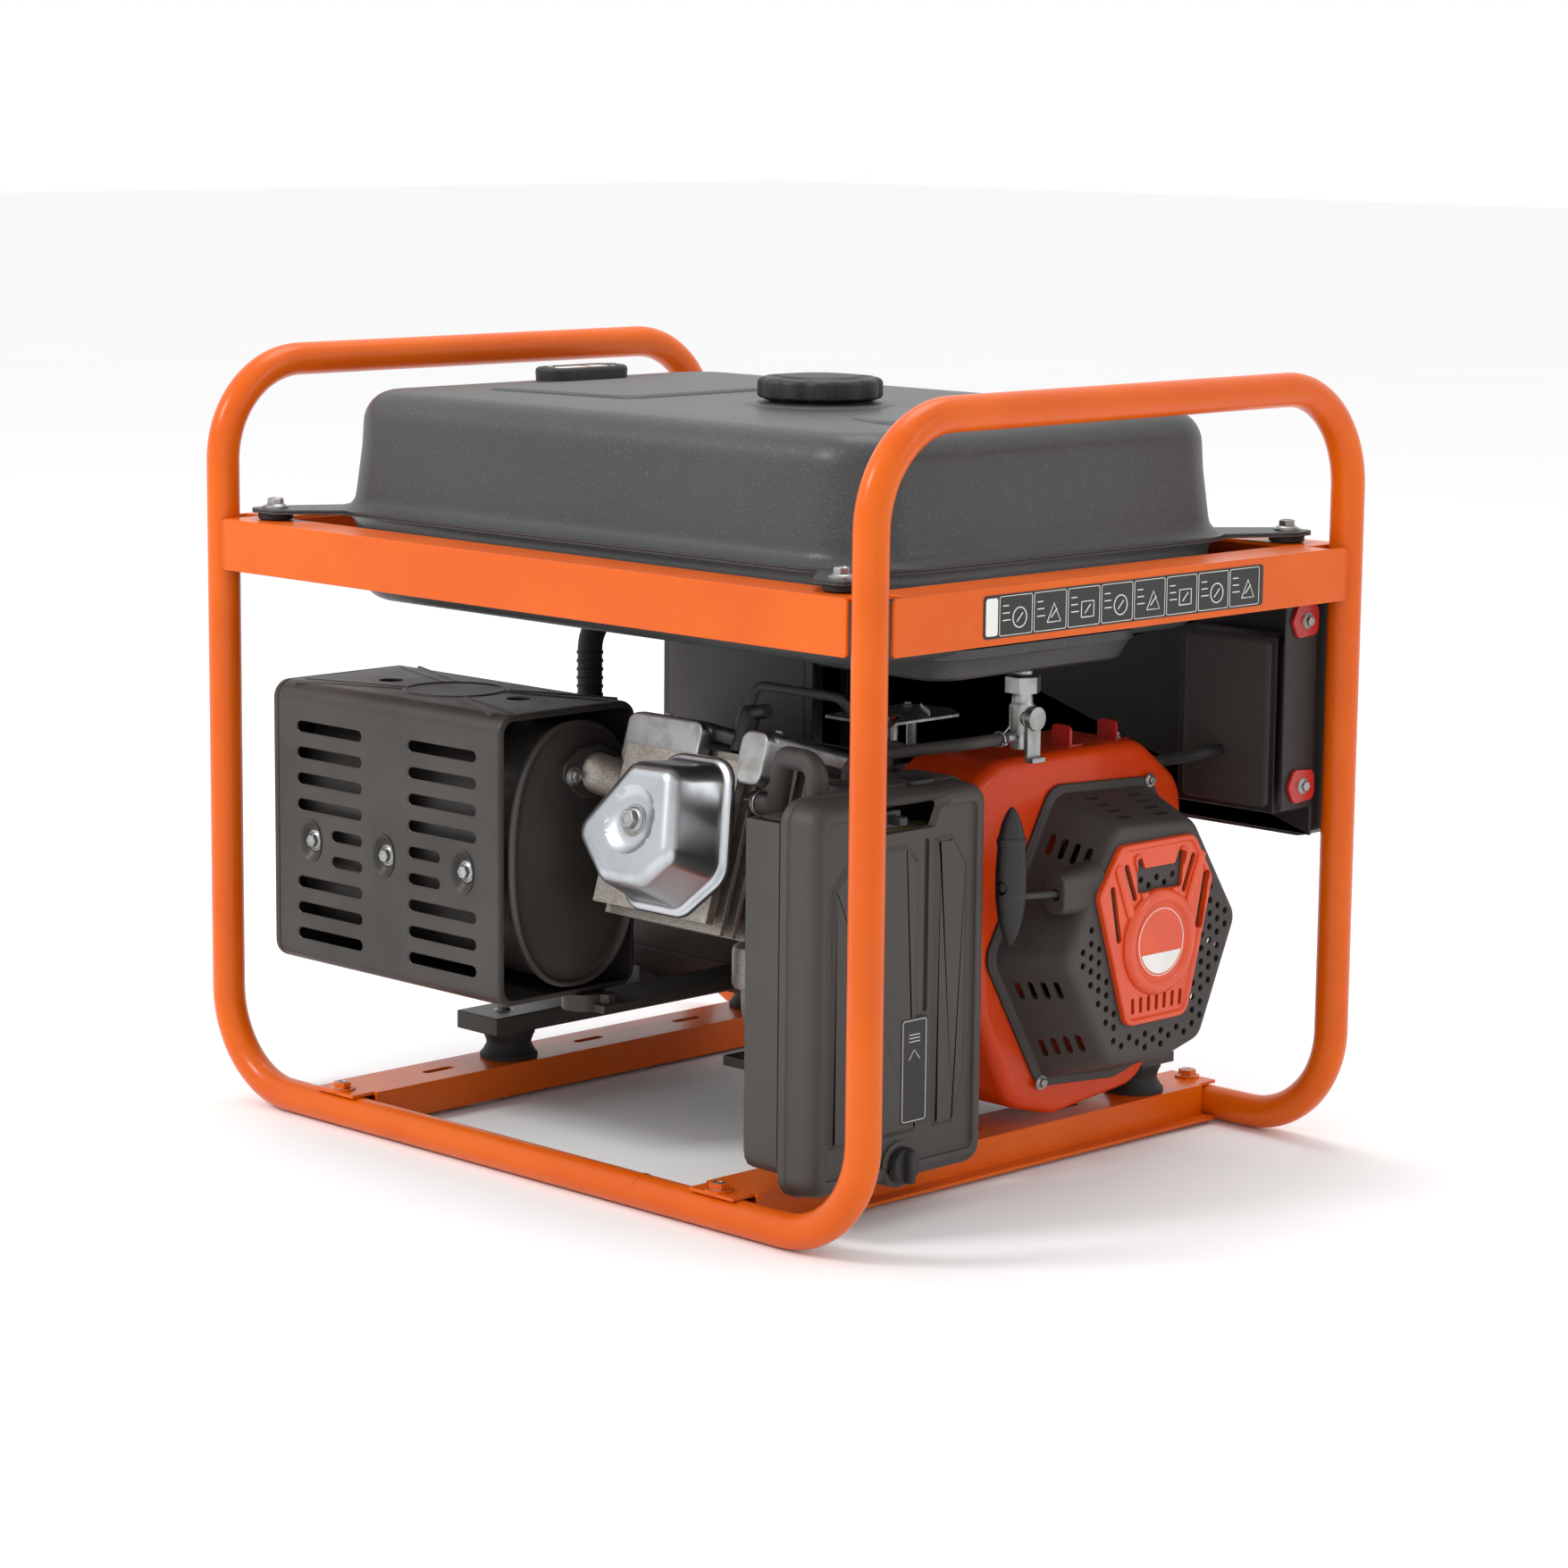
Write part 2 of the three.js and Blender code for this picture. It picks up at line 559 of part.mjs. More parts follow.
function crankshaft() {
  const throwCentre = [-STROKE / 2 * Math.cos(CYLINDER_TILT), STROKE / 2 * Math.sin(CYLINDER_TILT)];
  return join(
    rod('x', [0, 0], CRANK_JOURNAL, [-38 + GAP, CYLINDER_X - 12]),
    rod('x', [0, 0], 52, [CYLINDER_X - 30, CYLINDER_X - 12]),
    rod('x', throwCentre, CRANK_PIN, [CYLINDER_X - 13, CYLINDER_X + 13]),
    rod('x', [0, 0], 52, [CYLINDER_X + 12, CYLINDER_X + 30]),
    rod('x', [0, 0], CRANK_JOURNAL, [CYLINDER_X + 12, CASE_LENGTH + 6]),
    rod('x', [0, 0], 12, [CASE_LENGTH, SHROUD_X + 62], 16),
  );
}

const WRIST_Y = -150;

function pistonAndRod() {
  const skirt = cut(
    rod('y', [0, 0], BORE_RADIUS - GAP, [DECK_Y + 3, WRIST_Y + 24], 32),
    rod('y', [0, 0], BORE_RADIUS - 6, [DECK_Y + 11, WRIST_Y + 30], 32),
  );
  const wristPin = rod('x', [WRIST_Y, 0], 9, around(0, BORE_RADIUS - 4), 16);
  piece(cylinderGroup, 'piston', skirt.add(wristPin), castAluminium());
  const bigEnd = -STROKE / 2;
  const rodBody = join(
    rod('x', [bigEnd, 0], 22, around(0, 11)),
    box(around(0, 7), [WRIST_Y, bigEnd], around(0, 9)),
    rod('x', [WRIST_Y, 0], 15, around(0, 11)),
  );
  // The rod stands at the top of its stroke, open at the crank pin: its saddle clears the pin's circle.
  const pinSweep = STROKE / 2 + CRANK_PIN + GAP;
  const bored = cut(
    rodBody,
    rod('x', [0, 0], pinSweep, around(0, 20), 48),
    rod('x', [WRIST_Y, 0], 9 + GAP, around(0, 20), 16),
  );
  piece(cylinderGroup, 'connecting_rod', bored, castAluminium());
}

function cylinderHead() {
  const face = DECK_Y - HEAD_LENGTH;
  const fins = [0, 1, 2, 3, 4].map((i) => (
    box(around(0, HEAD_HALF_X + 5), around(face + 18 + i * 13, 2), around(0, HEAD_HALF_Z + 6))
  ));
  return cut(
    join(
      box(around(0, HEAD_HALF_X - 4), [face, DECK_Y], around(0, HEAD_HALF_Z - 5)),
      box(around(0, HEAD_HALF_X + 4), [face, face + 8], around(0, HEAD_HALF_Z)),
      box(around(0, HEAD_HALF_X), [DECK_Y - 10, DECK_Y], around(0, HEAD_HALF_Z)),
      ...fins,
    ),
    rod('y', [0, 0], BORE_RADIUS - 4, [DECK_Y - 12, DECK_Y + 1], 24),
  );
}

function valveCover() {
  const seat = DECK_Y - HEAD_LENGTH - GAP;
  const top = seat - VALVE_COVER_DEPTH;
  const dome = prismGeometry('y', COVER_OUTLINE, [top, seat + 20], { radius: 14, bevel: 7 });
  const inner = scaled(COVER_OUTLINE, 0.95);
  const inside = prismGeometry('y', inner, [top + 2.5, seat + 20], { radius: 14, bevel: 7 });
  const span = [top, seat];
  const flange = prism('y', scaled(COVER_OUTLINE, 1.28), [seat - 3, seat], { radius: 14 });
  const beyond = box([-200, 200], [seat, seat + 100], [-200, 200]);
  return cut(
    join(solid(taper(dome, 'y', span, [1.16, 1.16])), flange),
    beyond,
    solid(taper(inside, 'y', span, [1.16, 1.16])),
  ).add(rod('y', [8, 2], 11, [top - 3, top + 3], 20)).add(rod('y', [8, 2], 8, [top - 8, top], 6));
}

const PLUG_X = 34;
const PLUG_Y = -268;
const GUIDE_Z = 78;

function airGuide() {
  const right = CASE_LENGTH - CYLINDER_X - 2;
  const under = GUIDE_Z - 1.6;
  const sheet = [[-284, 70], [-284, 72], [-262, GUIDE_Z], [-96, GUIDE_Z], [-96, under], [-261, under]];
  return cut(
    prism('x', sheet, [-CYLINDER_X + 2, right]),
    rod('z', [PLUG_X, PLUG_Y], 15, [0, 200], 20),
  );
}

function makeEngineBlock() {
  piece(engine, 'crankcase', crankcase(), castAluminium());
  piece(engine, 'crankshaft', crankshaft(), steel());
  pistonAndRod();
  piece(cylinderGroup, 'cylinder_head', cylinderHead(), castAluminium());
  piece(cylinderGroup, 'valve_cover', valveCover(), polishedSteel());
  piece(cylinderGroup, 'air_guide', airGuide(), zinc());
  const finTop = HEAD_HALF_Z + 6 + GAP;
  piece(cylinderGroup, 'spark_plug_cap', join(
    rod('z', [PLUG_X, PLUG_Y], 10, [finTop, finTop + 26], 16),
    rod('z', [PLUG_X, PLUG_Y], 7, [finTop + 25, finTop + 36], 16),
  ), blackPlastic());
  piece(engine, 'oil_dipstick', join(
    rod('y', [60, -74], 15, [-152, -142 - GAP], 20),
    box(around(60, 4), [-164, -151], around(-74, 13)),
  ), blackPlastic());

  const cradleBottom = -SUMP_BELOW_CRANK - GAP - CRADLE_THICKNESS;
  const cradleSpan = [cradleBottom, -SUMP_BELOW_CRANK - GAP];
  piece(engine, 'engine_cradle', join(
    box([5, CASE_LENGTH + 12], [MOUNT_FRONT_RIGHT_Y - 19, MOUNT_BACK_Y + 19], cradleSpan),
    box([CASE_LENGTH, BASE_RAIL_X + 24], around(MOUNT_FRONT_RIGHT_Y, 19), cradleSpan),
    box([CASE_LENGTH, BASE_RAIL_X + 24], around(MOUNT_BACK_Y, 19), cradleSpan),
  ).subtract(box([30, 130], [-100, 60], [cradleBottom - 1, cradleSpan[1] + 1])), satinBlack());
}

// ---------------------------------------------------------------- flywheel side
const SHROUD_OUTLINE = [
  [-145, 118], [-112, 140], [50, 140], [98, 105], [112, -5],
  [60, -126], [-40, -136], [-92, -122], [-128, -50],
];
const STARTER_OUTLINE = [
  [-44, 92], [44, 88], [97, 8], [57, -81], [17, -91], [-51, -86], [-99, -4], [-74, 39],
];
const BADGE_OUTLINE = [[-46, 78], [38, 78], [60, 43], [33, -59], [-36, -59], [-70, 43]];
const COVER_X = SHROUD_X + SHROUD_DEPTH + GAP;
const FACE_X = COVER_X + COVER_DEPTH;
const GUIDE_BLOCK = { y: -98, z: 46 };
const HANDLE = { x: 290, y: -147, z: 66, radius: 12.5, length: 101 };

function flywheelFan() {
  const back = SHROUD_X + 6;
  const blades = [];
  for (let i = 0; i < 12; i++) {
    const blade = new THREE.BoxGeometry(34, 4, 48).translate(back + 22, 0, 68).rotateX(Math.PI * i / 6);
    blades.push(solid(blade));
  }
  return cut(
    join(
      rod('x', [0, 0], 95, [back, back + 8], 36),
      rod('x', [0, 0], 30, [CASE_LENGTH + 6 + GAP, back + 44]),
      ...blades,
    ),
    rod('x', [0, 0], 12 + GAP, [0, 400], 16),
  );
}

function blowerShroud() {
  const wall = 2.5;
  const inner = [SHROUD_X + wall, SHROUD_X + SHROUD_DEPTH + 1];
  return cut(
    prism('x', SHROUD_OUTLINE, [SHROUD_X, SHROUD_X + SHROUD_DEPTH], { radius: 34, curve: 5 }),
    prism('x', scaled(SHROUD_OUTLINE, 0.98), inner, { radius: 33, curve: 5 }),
    rod('x', [0, 0], 62, [SHROUD_X - 1, SHROUD_X + 10], 28),
  );
}

// The vent slots of the starter cover: rows round the sides, holes in the face.
function coverVents() {
  const vents = [];
  for (let i = 0; i < 8; i++) {
    const from = new THREE.Vector2(...STARTER_OUTLINE[i]);
    const to = new THREE.Vector2(...STARTER_OUTLINE[(i + 1) % 8]);
    if (from.distanceTo(to) < 60) continue;
    const angle = Math.atan2(to.y - from.y, to.x - from.x);
    for (const share of [0.3, 0.5, 0.7]) {
      const at = from.clone().lerp(to, share).multiplyScalar(1.1);
      const slot = new THREE.BoxGeometry(26, 5, 60).rotateX(angle).translate(COVER_X + 30, at.x, at.y);
      vents.push(solid(slot));
    }
  }
  return vents;
}

function recoilCover() {
  const flare = 1.2;
  const shell = (points, span, bevel) => solid(taper(
    prismGeometry('x', scaled(points, flare), span, { radius: 14, bevel, bevelSegments: 1, curve: 2 }),
    'x', [COVER_X, FACE_X], [1 / flare, 1 / flare],
  ));
  const outer = shell(STARTER_OUTLINE, [COVER_X - 20, FACE_X], 5);
  const inner = shell(scaled(STARTER_OUTLINE, 0.965), [COVER_X - 20, FACE_X - COVER_WALL], 5);
  const behind = box([COVER_X - 60, COVER_X], [-300, 300], [-300, 300]);
  const flange = prism('x', scaled(STARTER_OUTLINE, 1.27), [COVER_X, COVER_X + COVER_WALL], { radius: 16 });
  const { y, z } = GUIDE_BLOCK;
  const guide = cut(
    box([HANDLE.x - 12, HANDLE.x + 8], [y - 12, y + 26], around(z, 12)),
    rod('y', [HANDLE.x, z], 3.5, [y - 20, y + 40], 12),
  );
  return cut(
    cut(outer, behind).add(flange),
    inner,
    ...coverVents(),
  ).add(guide.subtract(inner)).add(rod('x', [0, 0], 8, [FACE_X - 34, FACE_X - 1], 12));
}

function recoilReel() {
  const start = FACE_X - 32;
  return cut(
    join(
      rod('x', [0, 0], 56, [start, start + 3], 28),
      rod('x', [0, 0], 46, [start + 2, start + 14], 28),
      rod('x', [0, 0], 56, [start + 13, start + 16], 28),
    ),
    rod('x', [0, 0], 8 + GAP, [start - 1, start + 20], 12),
  );
}

function makeStarter() {
  piece(engine, 'flywheel_fan', flywheelFan(), castAluminium());
  piece(engine, 'blower_shroud', blowerShroud(), orange());
  piece(engine, 'recoil_cover', recoilCover(), greyPlastic());
  const badge = join(
    prism('x', BADGE_OUTLINE, [FACE_X + GAP, FACE_X + 5], { radius: 12 }),
    rod('x', [0, 1], 39, [FACE_X + 4, FACE_X + 8], 36, 36),
  );
  piece(engine, 'recoil_badge', badge, orange());
  piece(engine, 'recoil_reel', recoilReel(), blackPlastic());
  const { x, y, z, radius, length } = HANDLE;
  const grip = new THREE.CapsuleGeometry(radius, length - 2 * radius, 4, 16);
  piece(engine, 'starter_handle', solid(grip.rotateX(Math.PI / 2).translate(x, y, z)), blackPlastic());
  const rope = rod('y', [x, GUIDE_BLOCK.z], 2.5, [y + radius + GAP, GUIDE_BLOCK.y + 12], 8);
  piece(engine, 'starter_rope', rope, rubber());
}

// ---------------------------------------------------------------- alternator
function makeAlternator() {
  const shellEnd = -ALTERNATOR_LENGTH + 62;
  const coreSpan = [shellEnd + 50, shellEnd + 50 + CORE_LENGTH];
  const foot = -ALTERNATOR_RADIUS;
  const housing = cut(
    join(
      rod('x', [0, 0], ALTERNATOR_RADIUS, [shellEnd, -GAP], 32),
      box(around(-BASE_RAIL_X, 18), [-60, 60], [foot, foot + 30]),
    ),
    rod('x', [0, 0], ROTOR_RADIUS + 3, [shellEnd - 1, -9], 32),
    rod('x', [0, 0], ALTERNATOR_RADIUS - 6, [shellEnd - 1, coreSpan[0]], 32),
    rod('x', [0, 0], ALTERNATOR_RADIUS - 6, [coreSpan[1], -9], 32),
    rod('x', [0, 0], 24, [-20, 1], 20),
  );
  piece(engine, 'alternator_housing', housing, satinBlack());
  const outerSpan = [-ALTERNATOR_LENGTH, shellEnd - GAP];
  const innerSpan = [-ALTERNATOR_LENGTH + 4, shellEnd];
  const endOuter = rod('x', [0, 0], ALTERNATOR_RADIUS - 8, outerSpan, 32, ALTERNATOR_RADIUS);
  const endInner = rod('x', [0, 0], ALTERNATOR_RADIUS - 12, innerSpan, 32, ALTERNATOR_RADIUS - 4);
  const vents = [];
  for (let i = 0; i < 8; i++) {
    const slot = new THREE.BoxGeometry(20, 6, 44).translate(-ALTERNATOR_LENGTH, 0, 62);
    slot.rotateX(Math.PI * i / 4);
    vents.push(solid(slot));
  }
  piece(engine, 'alternator_end_cover', cut(endOuter, endInner, ...vents), satinBlack());
  const rotorEnd = -ALTERNATOR_LENGTH + 4 + GAP;
  piece(engine, 'alternator_rotor', join(
    rod('x', [0, 0], ROTOR_RADIUS, coreSpan, 28),
    rod('x', [0, 0], 15, [rotorEnd, -38], 20),
    rod('x', [0, 0], ALTERNATOR_RADIUS - 20, [shellEnd - 22, shellEnd - 8], 28),
  ), copper());

  const crossTop = -ALTERNATOR_RADIUS - GAP;
  const crossBottom = -SUMP_BELOW_CRANK - GAP - CRADLE_THICKNESS;
  const bar = cut(
    box(around(-BASE_RAIL_X, 24), [MOUNT_FRONT_LEFT_Y - 34, MOUNT_BACK_Y + 23], [crossBottom, crossTop]),
    box(
      around(-BASE_RAIL_X, 21),
      [MOUNT_FRONT_LEFT_Y + 24, MOUNT_BACK_Y - 24],
      [crossBottom - 1, crossTop - 3],
    ),
  );
  piece(engine, 'alternator_crossbar', bar, satinBlack());
}

// ---------------------------------------------------------------- muffler
const SHIELD = {
  x: [-33 - MUFFLER_WIDTH, -33],
  y: [-212 - MUFFLER_DEPTH, -212],
  z: [-54, -54 + MUFFLER_HEIGHT],
};
const CANISTER = { y: SHIELD.y[0] + MUFFLER_DEPTH / 2 + 2, z: SHIELD.z[0] + MUFFLER_HEIGHT / 2 };
const CANISTER_HALF_Y = 60;
const CANISTER_HALF_Z = 96;

function ellipse(halfU, halfV, count = 22) {
  const points = [];
  for (let i = 0; i < count; i++) {
    const angle = 2 * Math.PI * i / count;
    const [c, s] = [Math.cos(angle), Math.sin(angle)];
    points.push([CANISTER.y + halfU * c, CANISTER.z + halfV * s]);
  }
  return points;
}

// The two columns of louvre slots in the front wall: long ones above and below, short ones beside the bolts.
function shieldSlots() {
  const [x0, x1] = SHIELD.x;
  const pitch = MUFFLER_HEIGHT * 0.0925;
  const top = SHIELD.z[1] - 33;
  const slots = [];
  for (let row = 0; row < 9; row++) {
    const short = row === 4 || row === 5;
    const z = top - row * pitch;
    const left = [x0 + (short ? 0.27 : 0.116) * MUFFLER_WIDTH, x0 + 0.404 * MUFFLER_WIDTH];
    const right = [x0 + 0.61 * MUFFLER_WIDTH, x1 - (short ? 0.255 : 0.101) * MUFFLER_WIDTH];
    for (const span of [left, right]) {
      slots.push(box(span, [SHIELD.y[0] - 1, SHIELD.y[0] + 4], around(z, 4)));
    }
  }
  return slots;
}

function makeMuffler() {
  const t = MUFFLER_SHEET;
  const wall = (inset) => rectangle(
    [SHIELD.y[0] + inset, SHIELD.y[1] - inset],
    [SHIELD.z[0] + inset, SHIELD.z[1] - inset],
  );
  const shield = cut(
    prism('x', wall(0), SHIELD.x, { radius: 14, curve: 4 }),
    prism('x', wall(t), [SHIELD.x[0] + t, SHIELD.x[1] + 1], { radius: 13, curve: 4 }),
    ...shieldSlots(),
  );
  piece(engine, 'muffler_heat_shield', shield, satinBlack());
  const end = SHIELD.x[1] + 2;
  const outletY = CANISTER.y + 11;
  const outletZ = CANISTER.z + 62;
  const canister = cut(
    join(
      prism(
        'x', ellipse(CANISTER_HALF_Y, CANISTER_HALF_Z), [SHIELD.x[0] + 14, end + 9],
        { bevel: 3, bevelSegments: 1 },
      ),
      prism('x', ellipse(CANISTER_HALF_Y + 4, CANISTER_HALF_Z + 5), [end, end + 5]),
    ),
    prism('x', ellipse(CANISTER_HALF_Y - 2, CANISTER_HALF_Z - 2), [SHIELD.x[0] + 16, end + 7]),
    rod('x', [outletY, outletZ], 14, [end - 4, end + 12], 12),
  );
  piece(engine, 'muffler_canister', canister, satinBlack());

  const portX = CYLINDER_X - HEAD_HALF_X - 5 - GAP;
  const start = end + 9 + GAP;
  const slant = [portX - start, 28, -14];
  piece(engine, 'exhaust_pipe', cut(
    join(
      slantedRod([start, outletY, outletZ], slant, 16),
      box([start, start + 5], around(outletY, 30), around(outletZ, 19)),
    ),
    slantedRod([start, outletY, outletZ], slant, 14.4),
  ), steel());

  const under = SHIELD.z[0] - GAP;
  const reach = Math.sqrt(ALTERNATOR_RADIUS ** 2 - (under - 7) ** 2) + 2;
  piece(engine, 'muffler_bracket', join(
    box([-62, -14], [-262, -reach], [under - 13, under - 7]),
    rod('z', [-42, CANISTER.y + 22], 17, [under - 13, under], 16),
    rod('z', [-24, -250], 7, [under - 8, under], 6),
  ), satinBlack());
}

// ---------------------------------------------------------------- intake side
const AIR = {
  y: [-168 - AIR_BOX_WIDTH, -168],
  z: [140 - AIR_BOX_HEIGHT, 140],
};
const CASE_END = AIR_BOX_X + 33;
const AIR_FACE = CASE_END + 32;
const CARB = { x: [168, AIR_BOX_X - GAP], y: -226, z: 58 };
const KNOB = { y: -258, z: AIR.z[0] };
const CHOKE = { y: -268, z: 121, travel: 18 };

function airBoxShell([from, to], inset, extra) {
  return prism('x', rectangle([AIR.y[0] + inset, AIR.y[1] - inset], [AIR.z[0] + inset, AIR.z[1] - inset]),
    [from, to], { radius: 16, curve: 4, ...extra });
}

function makeAirCleaner() {
  const w = AIR_BOX_WALL;
  const stepEnd = AIR.y[0] + 72;
  const stepTop = AIR.z[1] - 16;
  const caseSpan = [AIR_BOX_X, CASE_END - GAP];
  const step = box([AIR_BOX_X - 1, CASE_END + 1], [AIR.y[0] - 1, stepEnd], [stepTop, AIR.z[1] + 1]);
  const stepFloor = box(caseSpan, [AIR.y[0] + 14, stepEnd + w], [stepTop - w, stepTop]);
  const stepWall = box(caseSpan, [stepEnd, stepEnd + w], [stepTop - w, AIR.z[1] - 1]);
  const inlet = rod('x', [CARB.y, CARB.z], 16, [AIR_BOX_X - 5, AIR_BOX_X + 10], 20);
  const hollow = airBoxShell([AIR_BOX_X + w, CASE_END + 1], w);
  const shell = airBoxShell(caseSpan, 0).subtract(step).subtract(hollow);
  const body = join(shell, stepFloor, stepWall);
  piece(engine, 'air_cleaner_case', cut(body, inlet), greyPlastic());

  const knobSeat = rod('x', [KNOB.y, KNOB.z], 15, [CASE_END + 4, AIR_FACE], 20);
  const slot = box([AIR_FACE - 20, AIR_FACE + 5], [CHOKE.y - 4 - GAP, CHOKE.y + 4 + CHOKE.travel + GAP],
    around(CHOKE.z, 3 + GAP));
  const cover = cut(
    join(airBoxShell([CASE_END, AIR_FACE + 20], 0, { bevel: 4, bevelSegments: 2 })
      .subtract(box([CASE_END - 1, CASE_END + 5], [-600, 0], [-300, 300]))
      .add(airBoxShell([CASE_END, CASE_END + 6], 0))
      .subtract(box([AIR_FACE, AIR_FACE + 50], [-600, 0], [-300, 300])), knobSeat),
    airBoxShell([CASE_END - 1, AIR_FACE - w], w),
    slot,
  );
  piece(engine, 'air_cleaner_cover', cover, greyPlastic());
  const knobX = AIR_FACE + GAP;
  piece(engine, 'air_cleaner_knob', join(
    rod('x', [KNOB.y, KNOB.z], 13.5, [knobX, knobX + 7], 24),
    box([knobX + 6, knobX + 13], around(KNOB.y, 3.5), around(KNOB.z, 13)),
  ), blackPlastic());
  piece(engine, 'choke_lever', join(
    box([AIR_FACE - 12, AIR_FACE + 8], around(CHOKE.y, 4), around(CHOKE.z, 3)),
    box([AIR_FACE - 12, AIR_FACE - w - 2], around(CHOKE.y, 10), around(CHOKE.z, 6)),
  ), blackPlastic());
  const pleats = (inset) => rectangle(
    [AIR.y[0] + 16 + inset, AIR.y[1] - 16 - inset],
    [AIR.z[0] + 40 + inset, AIR.z[1] - 34 - inset],
  );
  piece(engine, 'air_filter', cut(
    prism('x', pleats(0), [AIR_BOX_X + w + 4, AIR_FACE - 16], { radius: 10 }),
    prism('x', pleats(16), [AIR_BOX_X, AIR_FACE], { radius: 6 }),
  ), paper());
}

function makeFuelSystem() {
  const { x, y, z } = CARB;
  const portX = CYLINDER_X + HEAD_HALF_X + 5 + GAP;
  piece(engine, 'carburettor', join(
    rod('x', [y, z], 15, [portX, x[1]], 20),
    box([x[0], x[1] - 8], around(y, 20), [z - 26, z + 26]),
    rod('z', [x[0] + 26, y], 20, [z - 62, z - 20], 20),
    box([portX, portX + 5], around(y, 30), around(z, 20)),
    box([x[1] - 5, x[1]], around(y, 30), around(z, 20)),
  ), castAluminium());

  const valveTop = TANK_BOTTOM - TANK_SUMP_DEPTH - GAP;
  const outlet = [VALVE_X, VALVE_Y - 18 - GAP - CRANK_Y, valveTop - 48 - CRANK_Z];
  piece(engine, 'fuel_hose', tube([
    outlet,
    [VALVE_X, outlet[1] - 34, outlet[2]],
    [x[0] + 26, y + 8, outlet[2] - 12],
    [x[0] + 26, y + 8, z + 26 + GAP],
  ], 4.5, { bend: 16, sides: 8, steps: 4 }), rubber());

  const stepTop = AIR.z[1] - 16 + GAP;
  piece(engine, 'breather_hose', tube([
    [portX, -250, 112],
    [portX + 24, -250, 112],
    [AIR_BOX_X - 20, -292, stepTop + 34],
    [AIR_BOX_X + 16, -296, stepTop + 34],
    [AIR_BOX_X + 16, -296, stepTop],
  ], 8, { bend: 14, sides: 10, steps: 4 }), rubber());

  const arm = join(
    rod('x', [-134, 70], 8, [CASE_LENGTH + 2, CASE_LENGTH + 8], 16),
    box([CASE_LENGTH + 2, CASE_LENGTH + 4.5], around(-134, 6), [70, 158]),
  );
  piece(engine, 'governor_arm', arm, zinc());

  const capTop = HEAD_HALF_Z + 6 + 2 * GAP + 36;
  const start = new THREE.Vector3(PLUG_X, PLUG_Y, capTop);
  start.applyAxisAngle(new THREE.Vector3(1, 0, 0), -CYLINDER_TILT);
  const startX = start.x + CYLINDER_X;
  const leadX = CASE_LENGTH + 13.5;
  piece(engine, 'ignition_lead', tube([
    [startX, start.y, start.z],
    [startX, start.y + 16 * Math.sin(CYLINDER_TILT), start.z + 16 * Math.cos(CYLINDER_TILT)],
    [leadX, start.y + 30, start.z + 10],
    [leadX, -150, 150],
    [leadX, -60, 120],
    [leadX, -60, 92],
  ], 3.5, { bend: 8, sides: 8, steps: 3 }), rubber());
}

// ---------------------------------------------------------------- control panel
const PANEL_FACE_Y = POST_Y + 5;
const PANEL_BACK_Y = POST_Y - 17;
const PANEL_HALF_X = POST_X - TUBE_RADIUS - 2.3;
const PANEL_BOTTOM = PANEL_TOP - PANEL_HEIGHT;
const OUTLET_HALF = 24;
const OUTLET_PLACES = [-50, 30];         // middles of the two sockets
const SWITCH = { x: 250, z: PANEL_BOTTOM + 60 };
const BREAKER = { x: 140, z: PANEL_BOTTOM + 60 };
const RESET = { x: -140, z: PANEL_BOTTOM + 50 };

